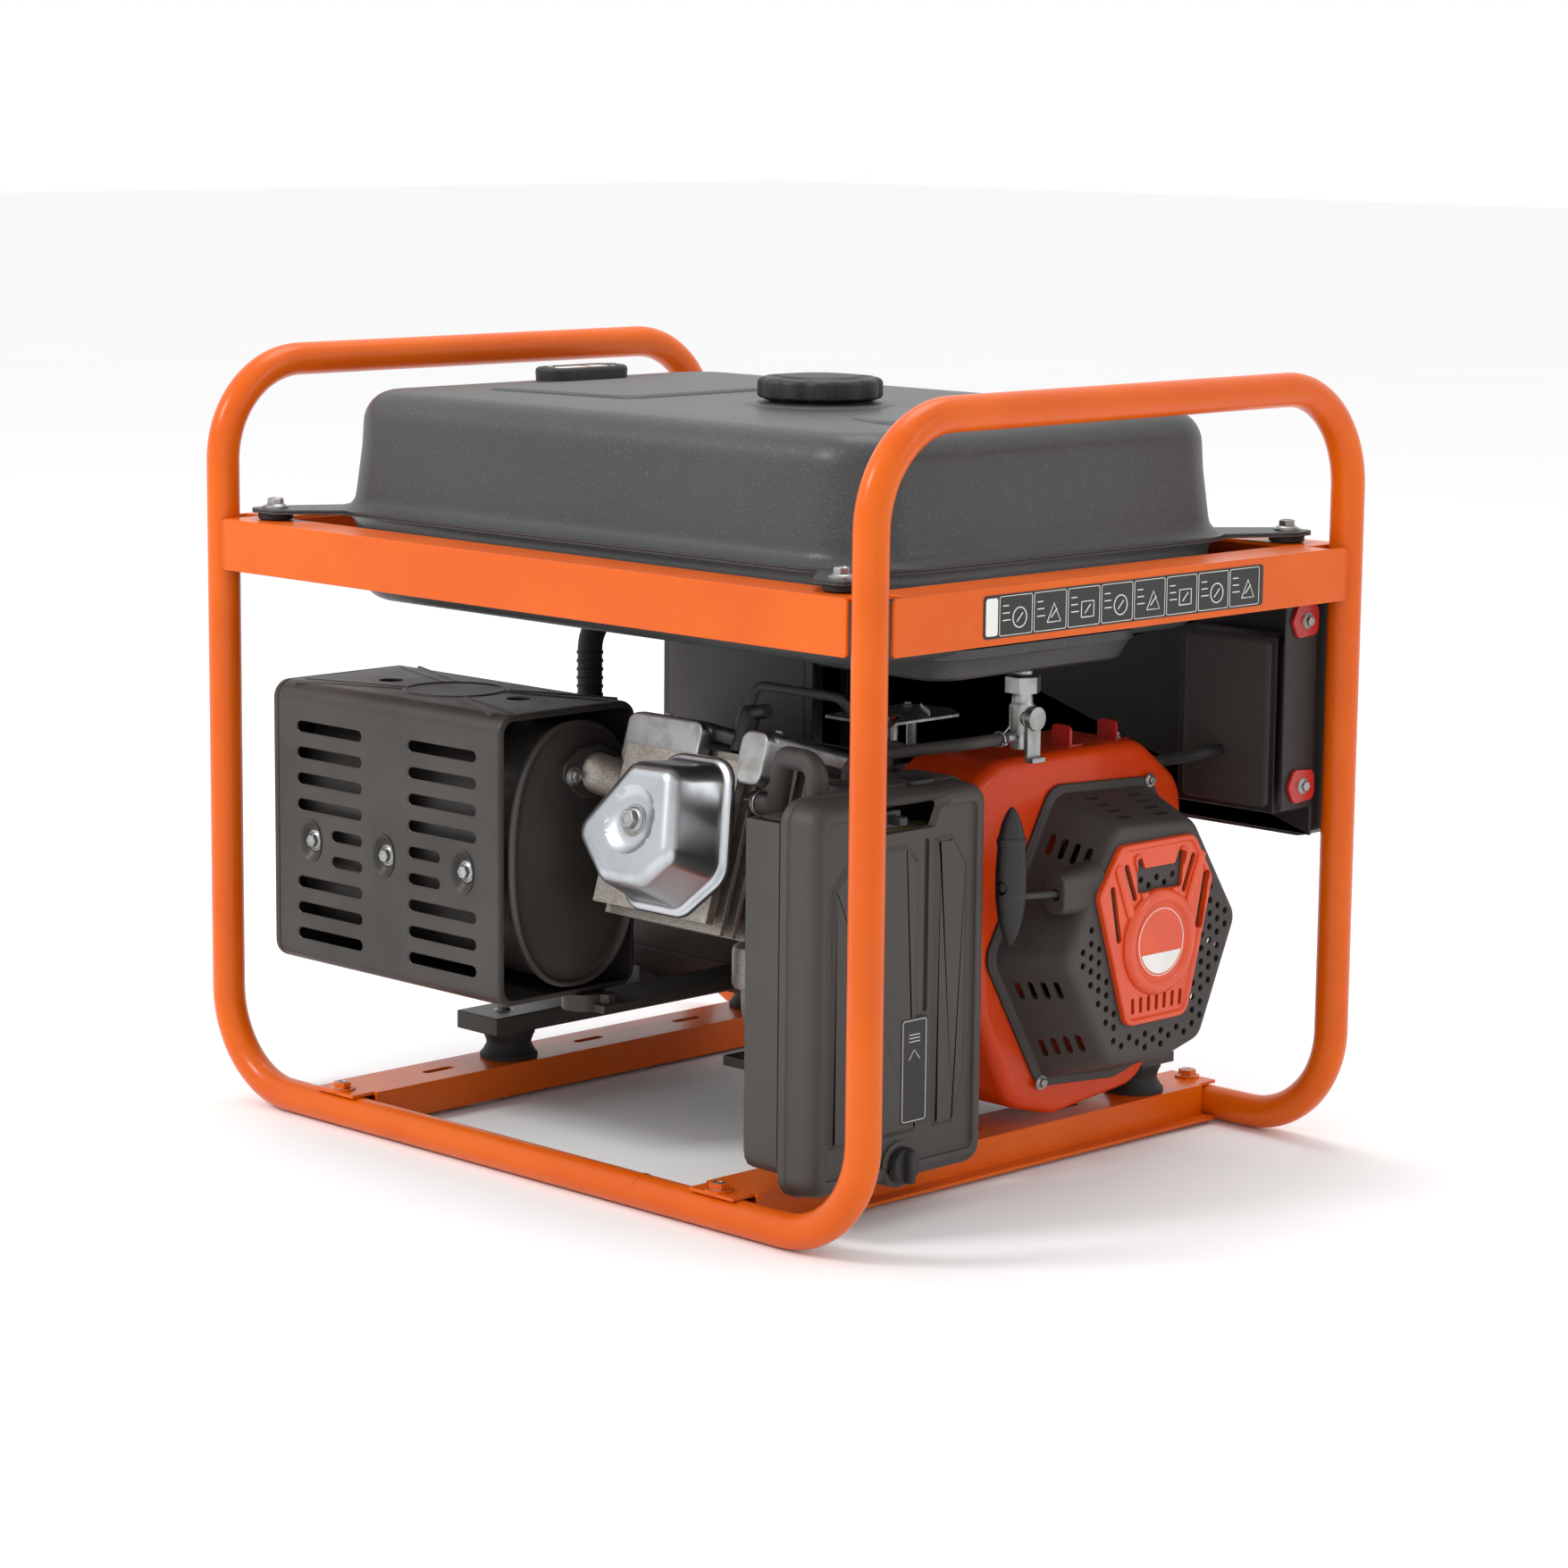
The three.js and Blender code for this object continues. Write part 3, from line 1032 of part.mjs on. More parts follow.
function makePanel() {
  const face = [PANEL_FACE_Y - PANEL_WALL, PANEL_FACE_Y];
  const plan = (inset) => rectangle(
    around(0, PANEL_HALF_X - inset),
    [PANEL_BOTTOM + inset, PANEL_TOP - inset],
  );
  const outletZ = PANEL_BOTTOM + 90;
  const holes = [
    ...OUTLET_PLACES.map((x) => [x, outletZ, OUTLET_HALF + GAP, OUTLET_HALF + GAP]),
    [SWITCH.x, SWITCH.z, 12 + GAP, 17 + GAP],
    [BREAKER.x, BREAKER.z, 9 + GAP, 16 + GAP],
  ].map(([x, z, halfX, halfZ]) => box(around(x, halfX), [face[0] - 1, face[1] + 1], around(z, halfZ)));
  const tray = cut(
    prism('y', plan(0), [PANEL_BACK_Y + GAP, PANEL_FACE_Y], { radius: 10 }),
    prism('y', plan(PANEL_WALL), [PANEL_BACK_Y - 1, face[0]], { radius: 8 }),
    ...holes,
    rod('y', [RESET.x, RESET.z], 7 + GAP, [face[0] - 1, face[1] + 1], 20),
  );
  const meter = box(around(0, 32), [PANEL_FACE_Y - 1, PANEL_FACE_Y + 3], [PANEL_TOP - 62, PANEL_TOP - 20]);
  piece(generator, 'control_panel', tray.add(meter), satinBlack());

  const cheekX = POST_X - TUBE_RADIUS + 1.7 - GAP;
  const rear = [PANEL_BACK_Y - PANEL_WALL, PANEL_BACK_Y];
  const leftBox = (inset) => box(
    [-PANEL_HALF_X + 4 + inset, -150 - inset],
    [PANEL_BACK_Y - 43 + inset, rear[1]],
    [PANEL_BOTTOM + 7 + inset, PANEL_TOP - 54 - inset],
  );
  const rightBox = (inset) => box(
    [PANEL_HALF_X - 108 + inset, PANEL_HALF_X - 14 - inset],
    [PANEL_BACK_Y - 25 + inset, rear[1]],
    [PANEL_BOTTOM + 19 + inset, PANEL_TOP - 48 - inset],
  );
  const housing = cut(
    join(
      box([-PANEL_HALF_X + 2, cheekX], rear, [PANEL_BOTTOM + 2, PANEL_TOP - 2]),
      box([cheekX - PANEL_WALL, cheekX], [PANEL_BACK_Y - 37, rear[1]], [PANEL_BOTTOM + 24, PANEL_TOP - 14]),
      leftBox(0),
      rightBox(0),
    ),
    leftBox(PANEL_WALL).add(box([-300, -170], rear.map((v) => v + 1), [PANEL_BOTTOM + 20, PANEL_TOP - 70])),
    rightBox(PANEL_WALL).add(box([240, 300], rear.map((v) => v + 1), [PANEL_BOTTOM + 40, PANEL_TOP - 70])),
  );
  piece(generator, 'panel_housing', housing, blackPlastic());

  const socket = (x) => {
    const pins = [-6.5, 6.5].map((dx) => (
      box(around(x + dx, 1.4), [PANEL_FACE_Y - 8, PANEL_FACE_Y + 5], around(outletZ + 6, 5))
    ));
    const earth = rod('y', [x, outletZ - 9], 3.2, [PANEL_FACE_Y - 8, PANEL_FACE_Y + 5], 12);
    const rim = OUTLET_HALF + 5;
    return cut(join(
      box(around(x, OUTLET_HALF), [PANEL_FACE_Y - 14, PANEL_FACE_Y + 4], around(outletZ, OUTLET_HALF)),
      box(around(x, rim), [PANEL_FACE_Y + GAP, PANEL_FACE_Y + 4], around(outletZ, rim)),
    ), ...pins, earth);
  };
  piece(generator, 'outlet_block', join(
    ...OUTLET_PLACES.map(socket),
    box(OUTLET_PLACES, [PANEL_FACE_Y - 13, PANEL_FACE_Y - 9], around(outletZ, OUTLET_HALF - 4)),
  ), blackPlastic());
  const rocker = ({ x, z }, halfX, halfZ) => prism('x', [
    [PANEL_FACE_Y - 10, z - halfZ + 4], [PANEL_FACE_Y + 1, z - halfZ], [PANEL_FACE_Y + 6, z - halfZ + 2],
    [PANEL_FACE_Y + 2.5, z], [PANEL_FACE_Y + 4, z + halfZ], [PANEL_FACE_Y + 1, z + halfZ],
    [PANEL_FACE_Y - 10, z + halfZ - 4],
  ], around(x, halfX));
  piece(generator, 'engine_switch', rocker(SWITCH, 12, 16), paint(0xb01a14, 0.4, 0));
  piece(generator, 'breaker_rocker', rocker(BREAKER, 9, 15), blackPlastic());
  piece(generator, 'reset_button', join(
    rod('y', [RESET.x, RESET.z], 7, [PANEL_FACE_Y - 12, PANEL_FACE_Y + 6], 20),
    rod('y', [RESET.x, RESET.z], 9, [PANEL_FACE_Y - 14, PANEL_FACE_Y - 8], 20),
  ), paint(0xd8d8d4, 0.4, 0));

  const alternatorTop = CRANK_Z + ALTERNATOR_RADIUS;
  const conduitX = -ALTERNATOR_LENGTH + 24;
  piece(generator, 'alternator_conduit', tube([
    [conduitX, CRANK_Y - 46, alternatorTop - 6],
    [conduitX, CRANK_Y - 46, alternatorTop + 90],
    [conduitX, PANEL_BACK_Y - 43 - GAP, alternatorTop + 90],
  ], 11, { bend: 30, sides: 12, steps: 5 }), rubber());
}

makeFrame();
makeBase();
makeTank();
makeEngineBlock();
makeStarter();
makeAlternator();
makeMuffler();
makeAirCleaner();
makeFuelSystem();
makePanel();

export default generator;
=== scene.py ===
"""Open-frame portable petrol generator: the looks of each piece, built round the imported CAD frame.

Metres, +Z up, origin on the ground under the middle of the frame. +X is the recoil starter's end, -Y the
muffler's side and +Y the control panel's side.
"""
import json
import math

import bmesh
import bpy
from mathutils import Matrix, Vector

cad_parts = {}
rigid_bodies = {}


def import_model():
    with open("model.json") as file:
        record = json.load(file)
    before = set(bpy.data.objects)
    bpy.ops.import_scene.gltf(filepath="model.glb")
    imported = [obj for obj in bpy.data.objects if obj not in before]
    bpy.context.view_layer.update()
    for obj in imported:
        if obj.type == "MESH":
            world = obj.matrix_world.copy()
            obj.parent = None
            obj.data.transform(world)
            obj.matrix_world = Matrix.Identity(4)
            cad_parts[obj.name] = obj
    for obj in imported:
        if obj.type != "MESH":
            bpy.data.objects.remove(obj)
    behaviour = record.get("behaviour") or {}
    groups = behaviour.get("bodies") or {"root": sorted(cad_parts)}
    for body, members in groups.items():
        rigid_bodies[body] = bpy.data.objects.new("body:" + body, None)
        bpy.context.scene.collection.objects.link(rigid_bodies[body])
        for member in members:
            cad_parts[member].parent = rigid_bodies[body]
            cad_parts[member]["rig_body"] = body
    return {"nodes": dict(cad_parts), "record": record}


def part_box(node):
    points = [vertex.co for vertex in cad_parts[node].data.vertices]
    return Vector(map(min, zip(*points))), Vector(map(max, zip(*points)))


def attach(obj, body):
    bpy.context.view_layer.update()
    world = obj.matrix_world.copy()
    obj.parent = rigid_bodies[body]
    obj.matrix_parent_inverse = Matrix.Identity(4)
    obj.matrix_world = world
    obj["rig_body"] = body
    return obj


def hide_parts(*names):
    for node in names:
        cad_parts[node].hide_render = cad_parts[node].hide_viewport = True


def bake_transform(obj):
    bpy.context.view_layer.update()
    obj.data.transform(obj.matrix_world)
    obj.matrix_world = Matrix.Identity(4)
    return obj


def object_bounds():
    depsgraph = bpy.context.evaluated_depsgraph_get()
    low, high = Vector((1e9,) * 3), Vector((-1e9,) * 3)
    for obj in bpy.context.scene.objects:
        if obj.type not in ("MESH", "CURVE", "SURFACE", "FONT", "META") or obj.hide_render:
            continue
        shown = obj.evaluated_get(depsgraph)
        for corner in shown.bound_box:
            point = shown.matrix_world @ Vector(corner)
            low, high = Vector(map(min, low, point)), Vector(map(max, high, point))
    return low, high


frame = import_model()
cad_low, cad_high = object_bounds()

MM = 0.001
TAU = 2 * math.pi
UP = (0, 0, 1)
TO_STARTER = (1, 0, 0)
TO_ALTERNATOR = (-1, 0, 0)
TO_FRONT = (0, -1, 0)
TO_PANEL = (0, 1, 0)


# ---------------------------------------------------------------- shader maths
class Wire:
    """A node's output that Python's operators work on."""

    def __init__(self, shader, socket):
        self.shader = shader
        self.socket = socket

    def maths(self, operation, *values):
        return self.shader.node("ShaderNodeMath", {"operation": operation}, dict(enumerate(values)))[0]

    def __add__(self, other):
        return self.maths("ADD", self, other)

    __radd__ = __add__

    def __mul__(self, other):
        return self.maths("MULTIPLY", self, other)

    __rmul__ = __mul__

    def __gt__(self, other):
        return self.maths("GREATER_THAN", self, other)

    def ramp(self, low, high):
        """Eases from 0 to 1 as the value goes from low to high."""
        inputs = {"Value": self, "From Min": low, "From Max": high}
        return self.shader.node("ShaderNodeMapRange", {"interpolation_type": "SMOOTHSTEP"}, inputs)[0]


class Shader:
    """A material made of one principled shader and what feeds it."""

    def __init__(self, name, **constants):
        self.material = bpy.data.materials.new(name)
        self.material.use_nodes = True
        self.tree = self.material.node_tree
        self.tree.nodes.clear()
        self.output = self.tree.nodes.new("ShaderNodeOutputMaterial")
        self.principled = self.tree.nodes.new("ShaderNodeBsdfPrincipled")
        self.tree.links.new(self.principled.outputs[0], self.output.inputs["Surface"])
        self.place = self.node("ShaderNodeTexCoord")["Object"]
        for socket, value in constants.items():
            self.feed(socket.replace("_", " "), value)

    def node(self, kind, settings=None, inputs=None):
        made = self.tree.nodes.new(kind)
        for key, value in (settings or {}).items():
            setattr(made, key, value)
        for key, value in (inputs or {}).items():
            if isinstance(value, Wire):
                self.tree.links.new(value.socket, made.inputs[key])
            else:
                made.inputs[key].default_value = value
        outputs = {}
        for index, socket in enumerate(made.outputs):
            outputs[index] = Wire(self, socket)
            outputs.setdefault(socket.name, outputs[index])
        return outputs

    def feed(self, socket, value):
        if isinstance(value, Wire):
            self.tree.links.new(value.socket, self.principled.inputs[socket])
        else:
            self.principled.inputs[socket].default_value = value

    def noise(self, scale, detail=3.0, roughness=0.55, stretch=None):
        vector = self.place
        if stretch:
            vector = self.node("ShaderNodeMapping", None, {"Vector": vector, "Scale": stretch})[0]
        inputs = {"Vector": vector, "Scale": scale, "Detail": detail, "Roughness": roughness}
        return self.node("ShaderNodeTexNoise", None, inputs)[0]

    def cells(self, scale, output="Distance"):
        return self.node("ShaderNodeTexVoronoi", None, {"Vector": self.place, "Scale": scale})[output]

    def mix(self, factor, low, high):
        """Colour `low` where the factor is 0 and `high` where it is 1."""
        return self.node("ShaderNodeMix", {"data_type": "RGBA"}, {0: factor, 6: low, 7: high})[2]

    def bump(self, height, distance, strength=1.0):
        inputs = {"Height": height, "Distance": distance, "Strength": strength}
        self.feed("Normal", self.node("ShaderNodeBump", None, inputs)[0])


def rgb(red, green, blue):
    """A colour given as the eye's 0 to 255 values, turned into the renderer's linear ones."""
    shares = [value / 255 for value in (red, green, blue)]
    return (*[share / 12.92 if share <= 0.04 else ((share + 0.055) / 1.055) ** 2.4 for share in shares], 1.0)


# ---------------------------------------------------------------- finishes
def orange_powder_coat(name, low, high):
    paint = Shader(name, Coat_Roughness=0.1, Coat_IOR=1.4, Specular_IOR_Level=0.2)
    broad = paint.noise(9.0, 2.0)
    fine = paint.noise(420.0, 3.0)
    dust = paint.noise(60.0, 6.0, 0.7).ramp(0.52, 0.75)
    colour = paint.mix(broad.ramp(0.35, 0.65), low, high)
    paint.feed("Base Color", paint.mix(dust * 0.06, colour, rgb(235, 150, 90)))
    paint.feed("Roughness", 0.3 + fine * 0.08 + dust * 0.08)
    paint.feed("Coat Weight", 0.2)
    paint.bump(paint.noise(900.0, 2.0) + paint.noise(160.0, 2.0) * 1.5, 0.00006, 0.5)
    return paint.material


def tank_metallic():
    paint = Shader("tank_metallic", Coat_Roughness=0.35, Specular_IOR_Level=0.3)
    flakes = paint.cells(1500.0, "Color")
    grain = paint.node("ShaderNodeSeparateColor", None, {0: flakes})[0]
    sparkle = grain > 0.97
    cloud = paint.noise(5.0, 4.0).ramp(0.3, 0.7)
    base = paint.mix(cloud, rgb(61, 62, 63), rgb(67, 68, 69))
    scuff = paint.noise(38.0, 8.0, 0.72, stretch=(1.0, 0.4, 1.0)).ramp(0.66, 0.8)
    worn = paint.mix(scuff * 0.25, base, rgb(92, 93, 94))
    paint.feed("Base Color", paint.mix(sparkle * 0.5, worn, rgb(120, 122, 124)))
    paint.feed("Metallic", 0.2 + sparkle * 0.4)
    paint.feed("Roughness", 0.42 + paint.noise(260.0, 3.0) * 0.1 + scuff * 0.1)
    paint.feed("Coat Weight", 0.2)
    paint.bump(paint.noise(1400.0, 2.0) + paint.noise(300.0, 2.0), 0.00005, 0.5)
    return paint.material


def heatproof_black():
    paint = Shader("heatproof_black")
    soot = paint.noise(14.0, 5.0, 0.6).ramp(0.35, 0.7)
    speck = paint.noise(500.0, 4.0, 0.7).ramp(0.6, 0.75)
    base = paint.mix(soot, rgb(58, 54, 51), rgb(49, 46, 43))
    paint.feed("Base Color", paint.mix(speck * 0.35, base, rgb(84, 79, 74)))
    paint.feed("Metallic", 0.25)
    paint.feed("Roughness", 0.42 + soot * 0.08 + speck * 0.12)
    paint.bump(paint.noise(800.0, 3.0), 0.00008, 0.6)
    return paint.material


def black_sheet():
    paint = Shader("black_sheet")
    cloud = paint.noise(7.0, 4.0).ramp(0.35, 0.65)
    paint.feed("Base Color", paint.mix(cloud, rgb(29, 28, 28), rgb(23, 23, 23)))
    paint.feed("Roughness", 0.4 + paint.noise(300.0, 3.0) * 0.12)
    paint.bump(paint.noise(1100.0, 2.0), 0.00006, 0.5)
    return paint.material


def textured_plastic(name, low, high, roughness=0.55, grain=1700.0):
    plastic = Shader(name)
    dust = plastic.noise(45.0, 7.0, 0.75).ramp(0.55, 0.8)
    cloud = plastic.noise(6.0, 3.0).ramp(0.3, 0.7)
    base = plastic.mix(cloud, low, high)
    plastic.feed("Base Color", plastic.mix(dust * 0.22, base, rgb(98, 93, 88)))
    plastic.feed("Roughness", roughness + dust * 0.12 + plastic.noise(200.0, 2.0) * 0.06)
    plastic.bump(plastic.cells(grain) + plastic.noise(grain * 0.5, 2.0), 0.00009, 0.55)
    return plastic.material


def smooth_plastic(name, colour, deeper, roughness=0.3):
    plastic = Shader(name, Coat_Roughness=0.1)
    cloud = plastic.noise(30.0, 3.0).ramp(0.3, 0.7)
    plastic.feed("Base Color", plastic.mix(cloud, colour, deeper))
    plastic.feed("Roughness", roughness + plastic.noise(220.0, 3.0) * 0.08)
    plastic.feed("Coat Weight", 0.25)
    plastic.bump(plastic.noise(500.0, 2.0), 0.00004, 0.4)
    return plastic.material


def cast_aluminium():
    metal = Shader("cast_aluminium", Metallic=0.9)
    grit = metal.noise(650.0, 4.0, 0.65)
    stain = metal.noise(22.0, 6.0, 0.7).ramp(0.5, 0.75)
    base = metal.mix(grit.ramp(0.35, 0.65), rgb(140, 133, 126), rgb(172, 166, 159))
    metal.feed("Base Color", metal.mix(stain * 0.45, base, rgb(112, 98, 86)))
    metal.feed("Roughness", 0.42 + grit * 0.18 + stain * 0.1)
    metal.bump(grit + metal.noise(180.0, 3.0) * 0.8, 0.00016, 0.7)
    return metal.material


def pressed_steel():
    metal = Shader("pressed_steel", Metallic=1.0)
    haze = metal.noise(18.0, 5.0, 0.6).ramp(0.4, 0.7)
    lines = metal.noise(260.0, 3.0, 0.6, stretch=(1.0, 1.0, 12.0))
    metal.feed("Base Color", metal.mix(haze, rgb(186, 190, 194), rgb(168, 172, 176)))
    metal.feed("Roughness", 0.26 + haze * 0.1 + lines * 0.05)
    metal.bump(metal.noise(34.0, 2.0) + lines * 0.06, 0.0004, 0.12)
    return metal.material


def zinc_plate():
    metal = Shader("zinc_plate", Metallic=1.0)
    spangle = metal.cells(300.0)
    cloud = metal.noise(60.0, 4.0).ramp(0.35, 0.7)
    metal.feed("Base Color", metal.mix(cloud, rgb(166, 168, 169), rgb(142, 140, 136)))
    metal.feed("Roughness", 0.26 + spangle * 0.18 + cloud * 0.08)
    metal.bump(metal.noise(700.0, 3.0), 0.00005, 0.4)
    return metal.material


def bare_steel():
    metal = Shader("bare_steel", Metallic=1.0)
    heat = metal.noise(26.0, 5.0, 0.65).ramp(0.4, 0.75)
    metal.feed("Base Color", metal.mix(heat, rgb(150, 148, 146), rgb(118, 104, 92)))
    metal.feed("Roughness", 0.36 + heat * 0.16 + metal.noise(400.0, 3.0) * 0.08)
    metal.bump(metal.noise(500.0, 3.0), 0.00008, 0.5)
    return metal.material


def cast_iron():
    metal = Shader("cast_iron", Metallic=0.7)
    grit = metal.noise(420.0, 4.0, 0.7)
    rust = metal.noise(40.0, 6.0, 0.75).ramp(0.6, 0.8)
    base = metal.mix(grit.ramp(0.3, 0.7), rgb(84, 84, 86), rgb(104, 103, 102))
    metal.feed("Base Color", metal.mix(rust * 0.3, base, rgb(110, 76, 52)))
    metal.feed("Roughness", 0.5 + grit * 0.2)
    metal.bump(grit, 0.0002, 0.6)
    return metal.material


def moulded_rubber(name="moulded_rubber", low=(24, 24, 24), high=(34, 33, 32)):
    rubber = Shader(name)
    bloom = rubber.noise(30.0, 6.0, 0.7).ramp(0.5, 0.8)
    rubber.feed("Base Color", rubber.mix(bloom * 0.5, rgb(*low), rgb(*high)))
    rubber.feed("Roughness", 0.62 + bloom * 0.15 + rubber.noise(500.0, 2.0) * 0.08)
    rubber.bump(rubber.noise(900.0, 3.0), 0.00008, 0.5)
    return rubber.material


def pleated_paper():
    paper = Shader("pleated_paper")
    fibre = paper.noise(300.0, 5.0, 0.7)
    paper.feed("Base Color", paper.mix(fibre.ramp(0.3, 0.7), rgb(214, 196, 148), rgb(190, 168, 116)))
    paper.feed("Roughness", 0.85 + fibre * 0.1)
    paper.bump(fibre, 0.0002, 0.6)
    return paper.material


ORANGE = orange_powder_coat("orange_powder_coat", rgb(213, 93, 3), rgb(206, 85, 2))
# painted shade: a redder, darker copy of the frame's orange powder coat, given to the blower shroud, which
# stands in shade
SHADED_ORANGE = orange_powder_coat("shaded_orange_powder_coat", rgb(206, 62, 10), rgb(198, 56, 8))
TANK = tank_metallic()
HEAT_BLACK = heatproof_black()
SHEET_BLACK = black_sheet()
GREY_PLASTIC = textured_plastic("grey_textured_plastic", rgb(52, 48, 46), rgb(58, 54, 51))
BLACK_PLASTIC = textured_plastic("black_textured_plastic", rgb(22, 21, 21), rgb(28, 27, 26), 0.48)
BADGE_ORANGE = smooth_plastic("badge_orange", rgb(214, 70, 12), rgb(206, 62, 10))
RED_PLASTIC = smooth_plastic("red_plastic", rgb(176, 22, 16), rgb(160, 18, 14))
WHITE_PLASTIC = smooth_plastic("white_plastic", rgb(226, 225, 220), rgb(216, 215, 210), 0.35)
ALUMINIUM = cast_aluminium()
CHROME = pressed_steel()
ZINC = zinc_plate()
STEEL = bare_steel()
IRON = cast_iron()
RUBBER = moulded_rubber()
HOSE = moulded_rubber("hose_rubber", (52, 50, 48), (74, 70, 66))
PAPER = pleated_paper()

SLOT_OF = {
    ORANGE: "frame_paint", SHADED_ORANGE: "frame_paint", TANK: "tank_paint", HEAT_BLACK: "satin_black",
    SHEET_BLACK: "panel_black", GREY_PLASTIC: "grey_plastic", BLACK_PLASTIC: "black_plastic",
    BADGE_ORANGE: "orange_plastic",
    RED_PLASTIC: "red_plastic", WHITE_PLASTIC: "white_plastic", ALUMINIUM: "cast_aluminium",
    CHROME: "valve_steel", ZINC: "zinc", STEEL: "steel", IRON: "iron", RUBBER: "rubber", HOSE: "rubber",
    PAPER: "paper",
}


# ---------------------------------------------------------------- modelling helpers
# Pieces are shaped in millimetres, and finish_piece brings them to metres.
def nothing_selected():
    if bpy.context.object and bpy.context.object.mode != "OBJECT":
        bpy.ops.object.mode_set(mode="OBJECT")
    bpy.ops.object.select_all(action="DESELECT")


def only(piece):
    nothing_selected()
    bpy.context.view_layer.objects.active = piece
    piece.select_set(True)


def settle(piece):
    """Moves the object's place, turn and scale into its mesh."""
    only(piece)
    bpy.ops.object.transform_apply(location=True, rotation=True, scale=True)
    return piece


def modify(piece, kind, **settings):
    only(piece)
    modifier = piece.modifiers.new(kind.title(), kind)
    for key, value in settings.items():
        setattr(modifier, key, value)
    bpy.ops.object.modifier_apply(modifier=modifier.name)
    return piece


def edit(piece, mode="VERT"):
    only(piece)
    bpy.ops.object.mode_set(mode="EDIT")
    bpy.ops.mesh.select_mode(type=mode)
    bpy.ops.mesh.select_all(action="DESELECT")


def outward(piece):
    """Merges doubles and turns every face outwards."""
    edit(piece)
    bpy.ops.mesh.select_all(action="SELECT")
    bpy.ops.mesh.remove_doubles(threshold=0.001)
    bpy.ops.mesh.normals_make_consistent(inside=False)
    bpy.ops.object.mode_set(mode="OBJECT")
    return piece


def remove_faces(piece, chosen):
    """Deletes the faces whose middle and normal pass the test."""
    edit(piece, "FACE")
    mesh = bmesh.from_edit_mesh(piece.data)
    mesh.normal_update()
    for face in mesh.faces:
        face.select = bool(chosen(face.calc_center_median(), face.normal))
    mesh.select_flush_mode()
    bmesh.update_edit_mesh(piece.data)
    bpy.ops.mesh.delete(type="FACE")
    bpy.ops.object.mode_set(mode="OBJECT")


def round_edges(piece, width, segments, degrees):
    """Bevels the edges that are sharper than the given angle."""
    return modify(piece, "BEVEL", width=width, segments=segments, limit_method="ANGLE",
                  angle_limit=math.radians(degrees))


def merge(pieces, name=None):
    pieces = list(pieces)
    nothing_selected()
    for piece in pieces:
        piece.select_set(True)
    bpy.context.view_layer.objects.active = pieces[0]
    if len(pieces) > 1:
        bpy.ops.object.join()
    pieces[0].name = name or pieces[0].name
    return pieces[0]


def carve(piece, cutters, operation="DIFFERENCE"):
    """Cuts the cutters out of the piece, or joins them to it."""
    cutter = merge(cutters)
    modify(piece, "BOOLEAN", object=cutter, operation=operation, solver="EXACT")
    bpy.data.objects.remove(cutter)
    return piece


def finish_piece(piece, finish, node=None, degrees=35, body="chassis"):
    """Gives the piece its finish, smoothing and body, and hides the CAD node that it stands for."""
    piece.data.transform(Matrix.Scale(MM, 4))
    piece.data.materials.clear()
    piece.data.materials.append(finish)
    only(piece)
    bpy.ops.object.shade_smooth_by_angle(angle=math.radians(degrees))
    modify(piece, "WEIGHTED_NORMAL", keep_sharp=True)
    if body:
        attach(piece, body)
    if node:
        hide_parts(node)
    return piece


def box_of(node):
    low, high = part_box(node)
    return [value / MM for value in low], [value / MM for value in high]


def middle_of(low, high):
    return [(a + b) / 2 for a, b in zip(low, high)]


def dressed_copy(node, name, edge, segments, limit):
    """A copy of a CAD node with its vertices merged and its sharp edges rounded."""
    piece = bpy.data.objects.new(name, frame["nodes"][node].data.copy())
    bpy.context.scene.collection.objects.link(piece)
    piece.data.transform(Matrix.Scale(1 / MM, 4))
    edit(piece)
    bpy.ops.mesh.select_all(action="SELECT")
    bpy.ops.mesh.remove_doubles(threshold=0.02)
    bpy.ops.mesh.dissolve_limited(angle_limit=math.radians(1.0))
    bpy.ops.object.mode_set(mode="OBJECT")
    return round_edges(piece, edge, segments, limit)


def dress(node, finish, edge=0.8, segments=2, limit=32):
    """Shows a CAD node with rounded edges and a finish, on the body it is on."""
    piece = dressed_copy(node, node + "_shown", edge, segments, limit)
    finish_piece(piece, finish, node, 40, frame["nodes"][node]["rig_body"])


# ---------------------------------------------------------------- outlines
def place(axis, at, u, v):
    return {"x": (at, u, v), "y": (u, at, v), "z": (u, v, at)}[axis]


def rectangle(u0, u1, v0, v1):
    return [(u0, v0), (u1, v0), (u1, v1), (u0, v1)]


def corner_arc(before, corner, after, radius, steps):
    """Points along the arc that turns a corner."""
    back, on = before - corner, after - corner
    half = back.angle(on) / 2
    reach = min(radius / math.tan(half), 0.49 * back.length, 0.49 * on.length)
    middle = (back.normalized() + on.normalized()).normalized()
    centre = corner + middle * (reach / math.cos(half))
    start = corner + back.normalized() * reach - centre
    end = corner + on.normalized() * reach - centre
    return [centre + start.slerp(end, step / steps) * start.length for step in range(steps + 1)]


def rounded(points, radius, steps=6):
    """The outline with each corner turned into an arc."""
    corners = [Vector(point) for point in points]
    result = []
    for index, corner in enumerate(corners):
        after = corners[(index + 1) % len(corners)]
        result += [tuple(point) for point in corner_arc(corners[index - 1], corner, after, radius, steps)]
    return result


def inset(points, amount):
    """The outline moved inward by the amount, measured square to its edges."""
    count = len(points)
    area = sum(points[i - 1][0] * points[i][1] - points[i][0] * points[i - 1][1] for i in range(count))
    turn = 1 if area > 0 else -1
    moved = []
    for index, point in enumerate(points):
        here = Vector(point)
        before = (here - Vector(points[index - 1])).normalized()
        after = (Vector(points[(index + 1) % count]) - here).normalized()
        first = Vector((-before.y, before.x)) * turn
        second = Vector((-after.y, after.x)) * turn
        middle = (first + second).normalized()
        moved.append(tuple(here + middle * (amount / max(middle.dot(first), 0.3))))
    return moved


def scaled(points, factor):
    return [(u * factor, v * factor) for u, v in points]


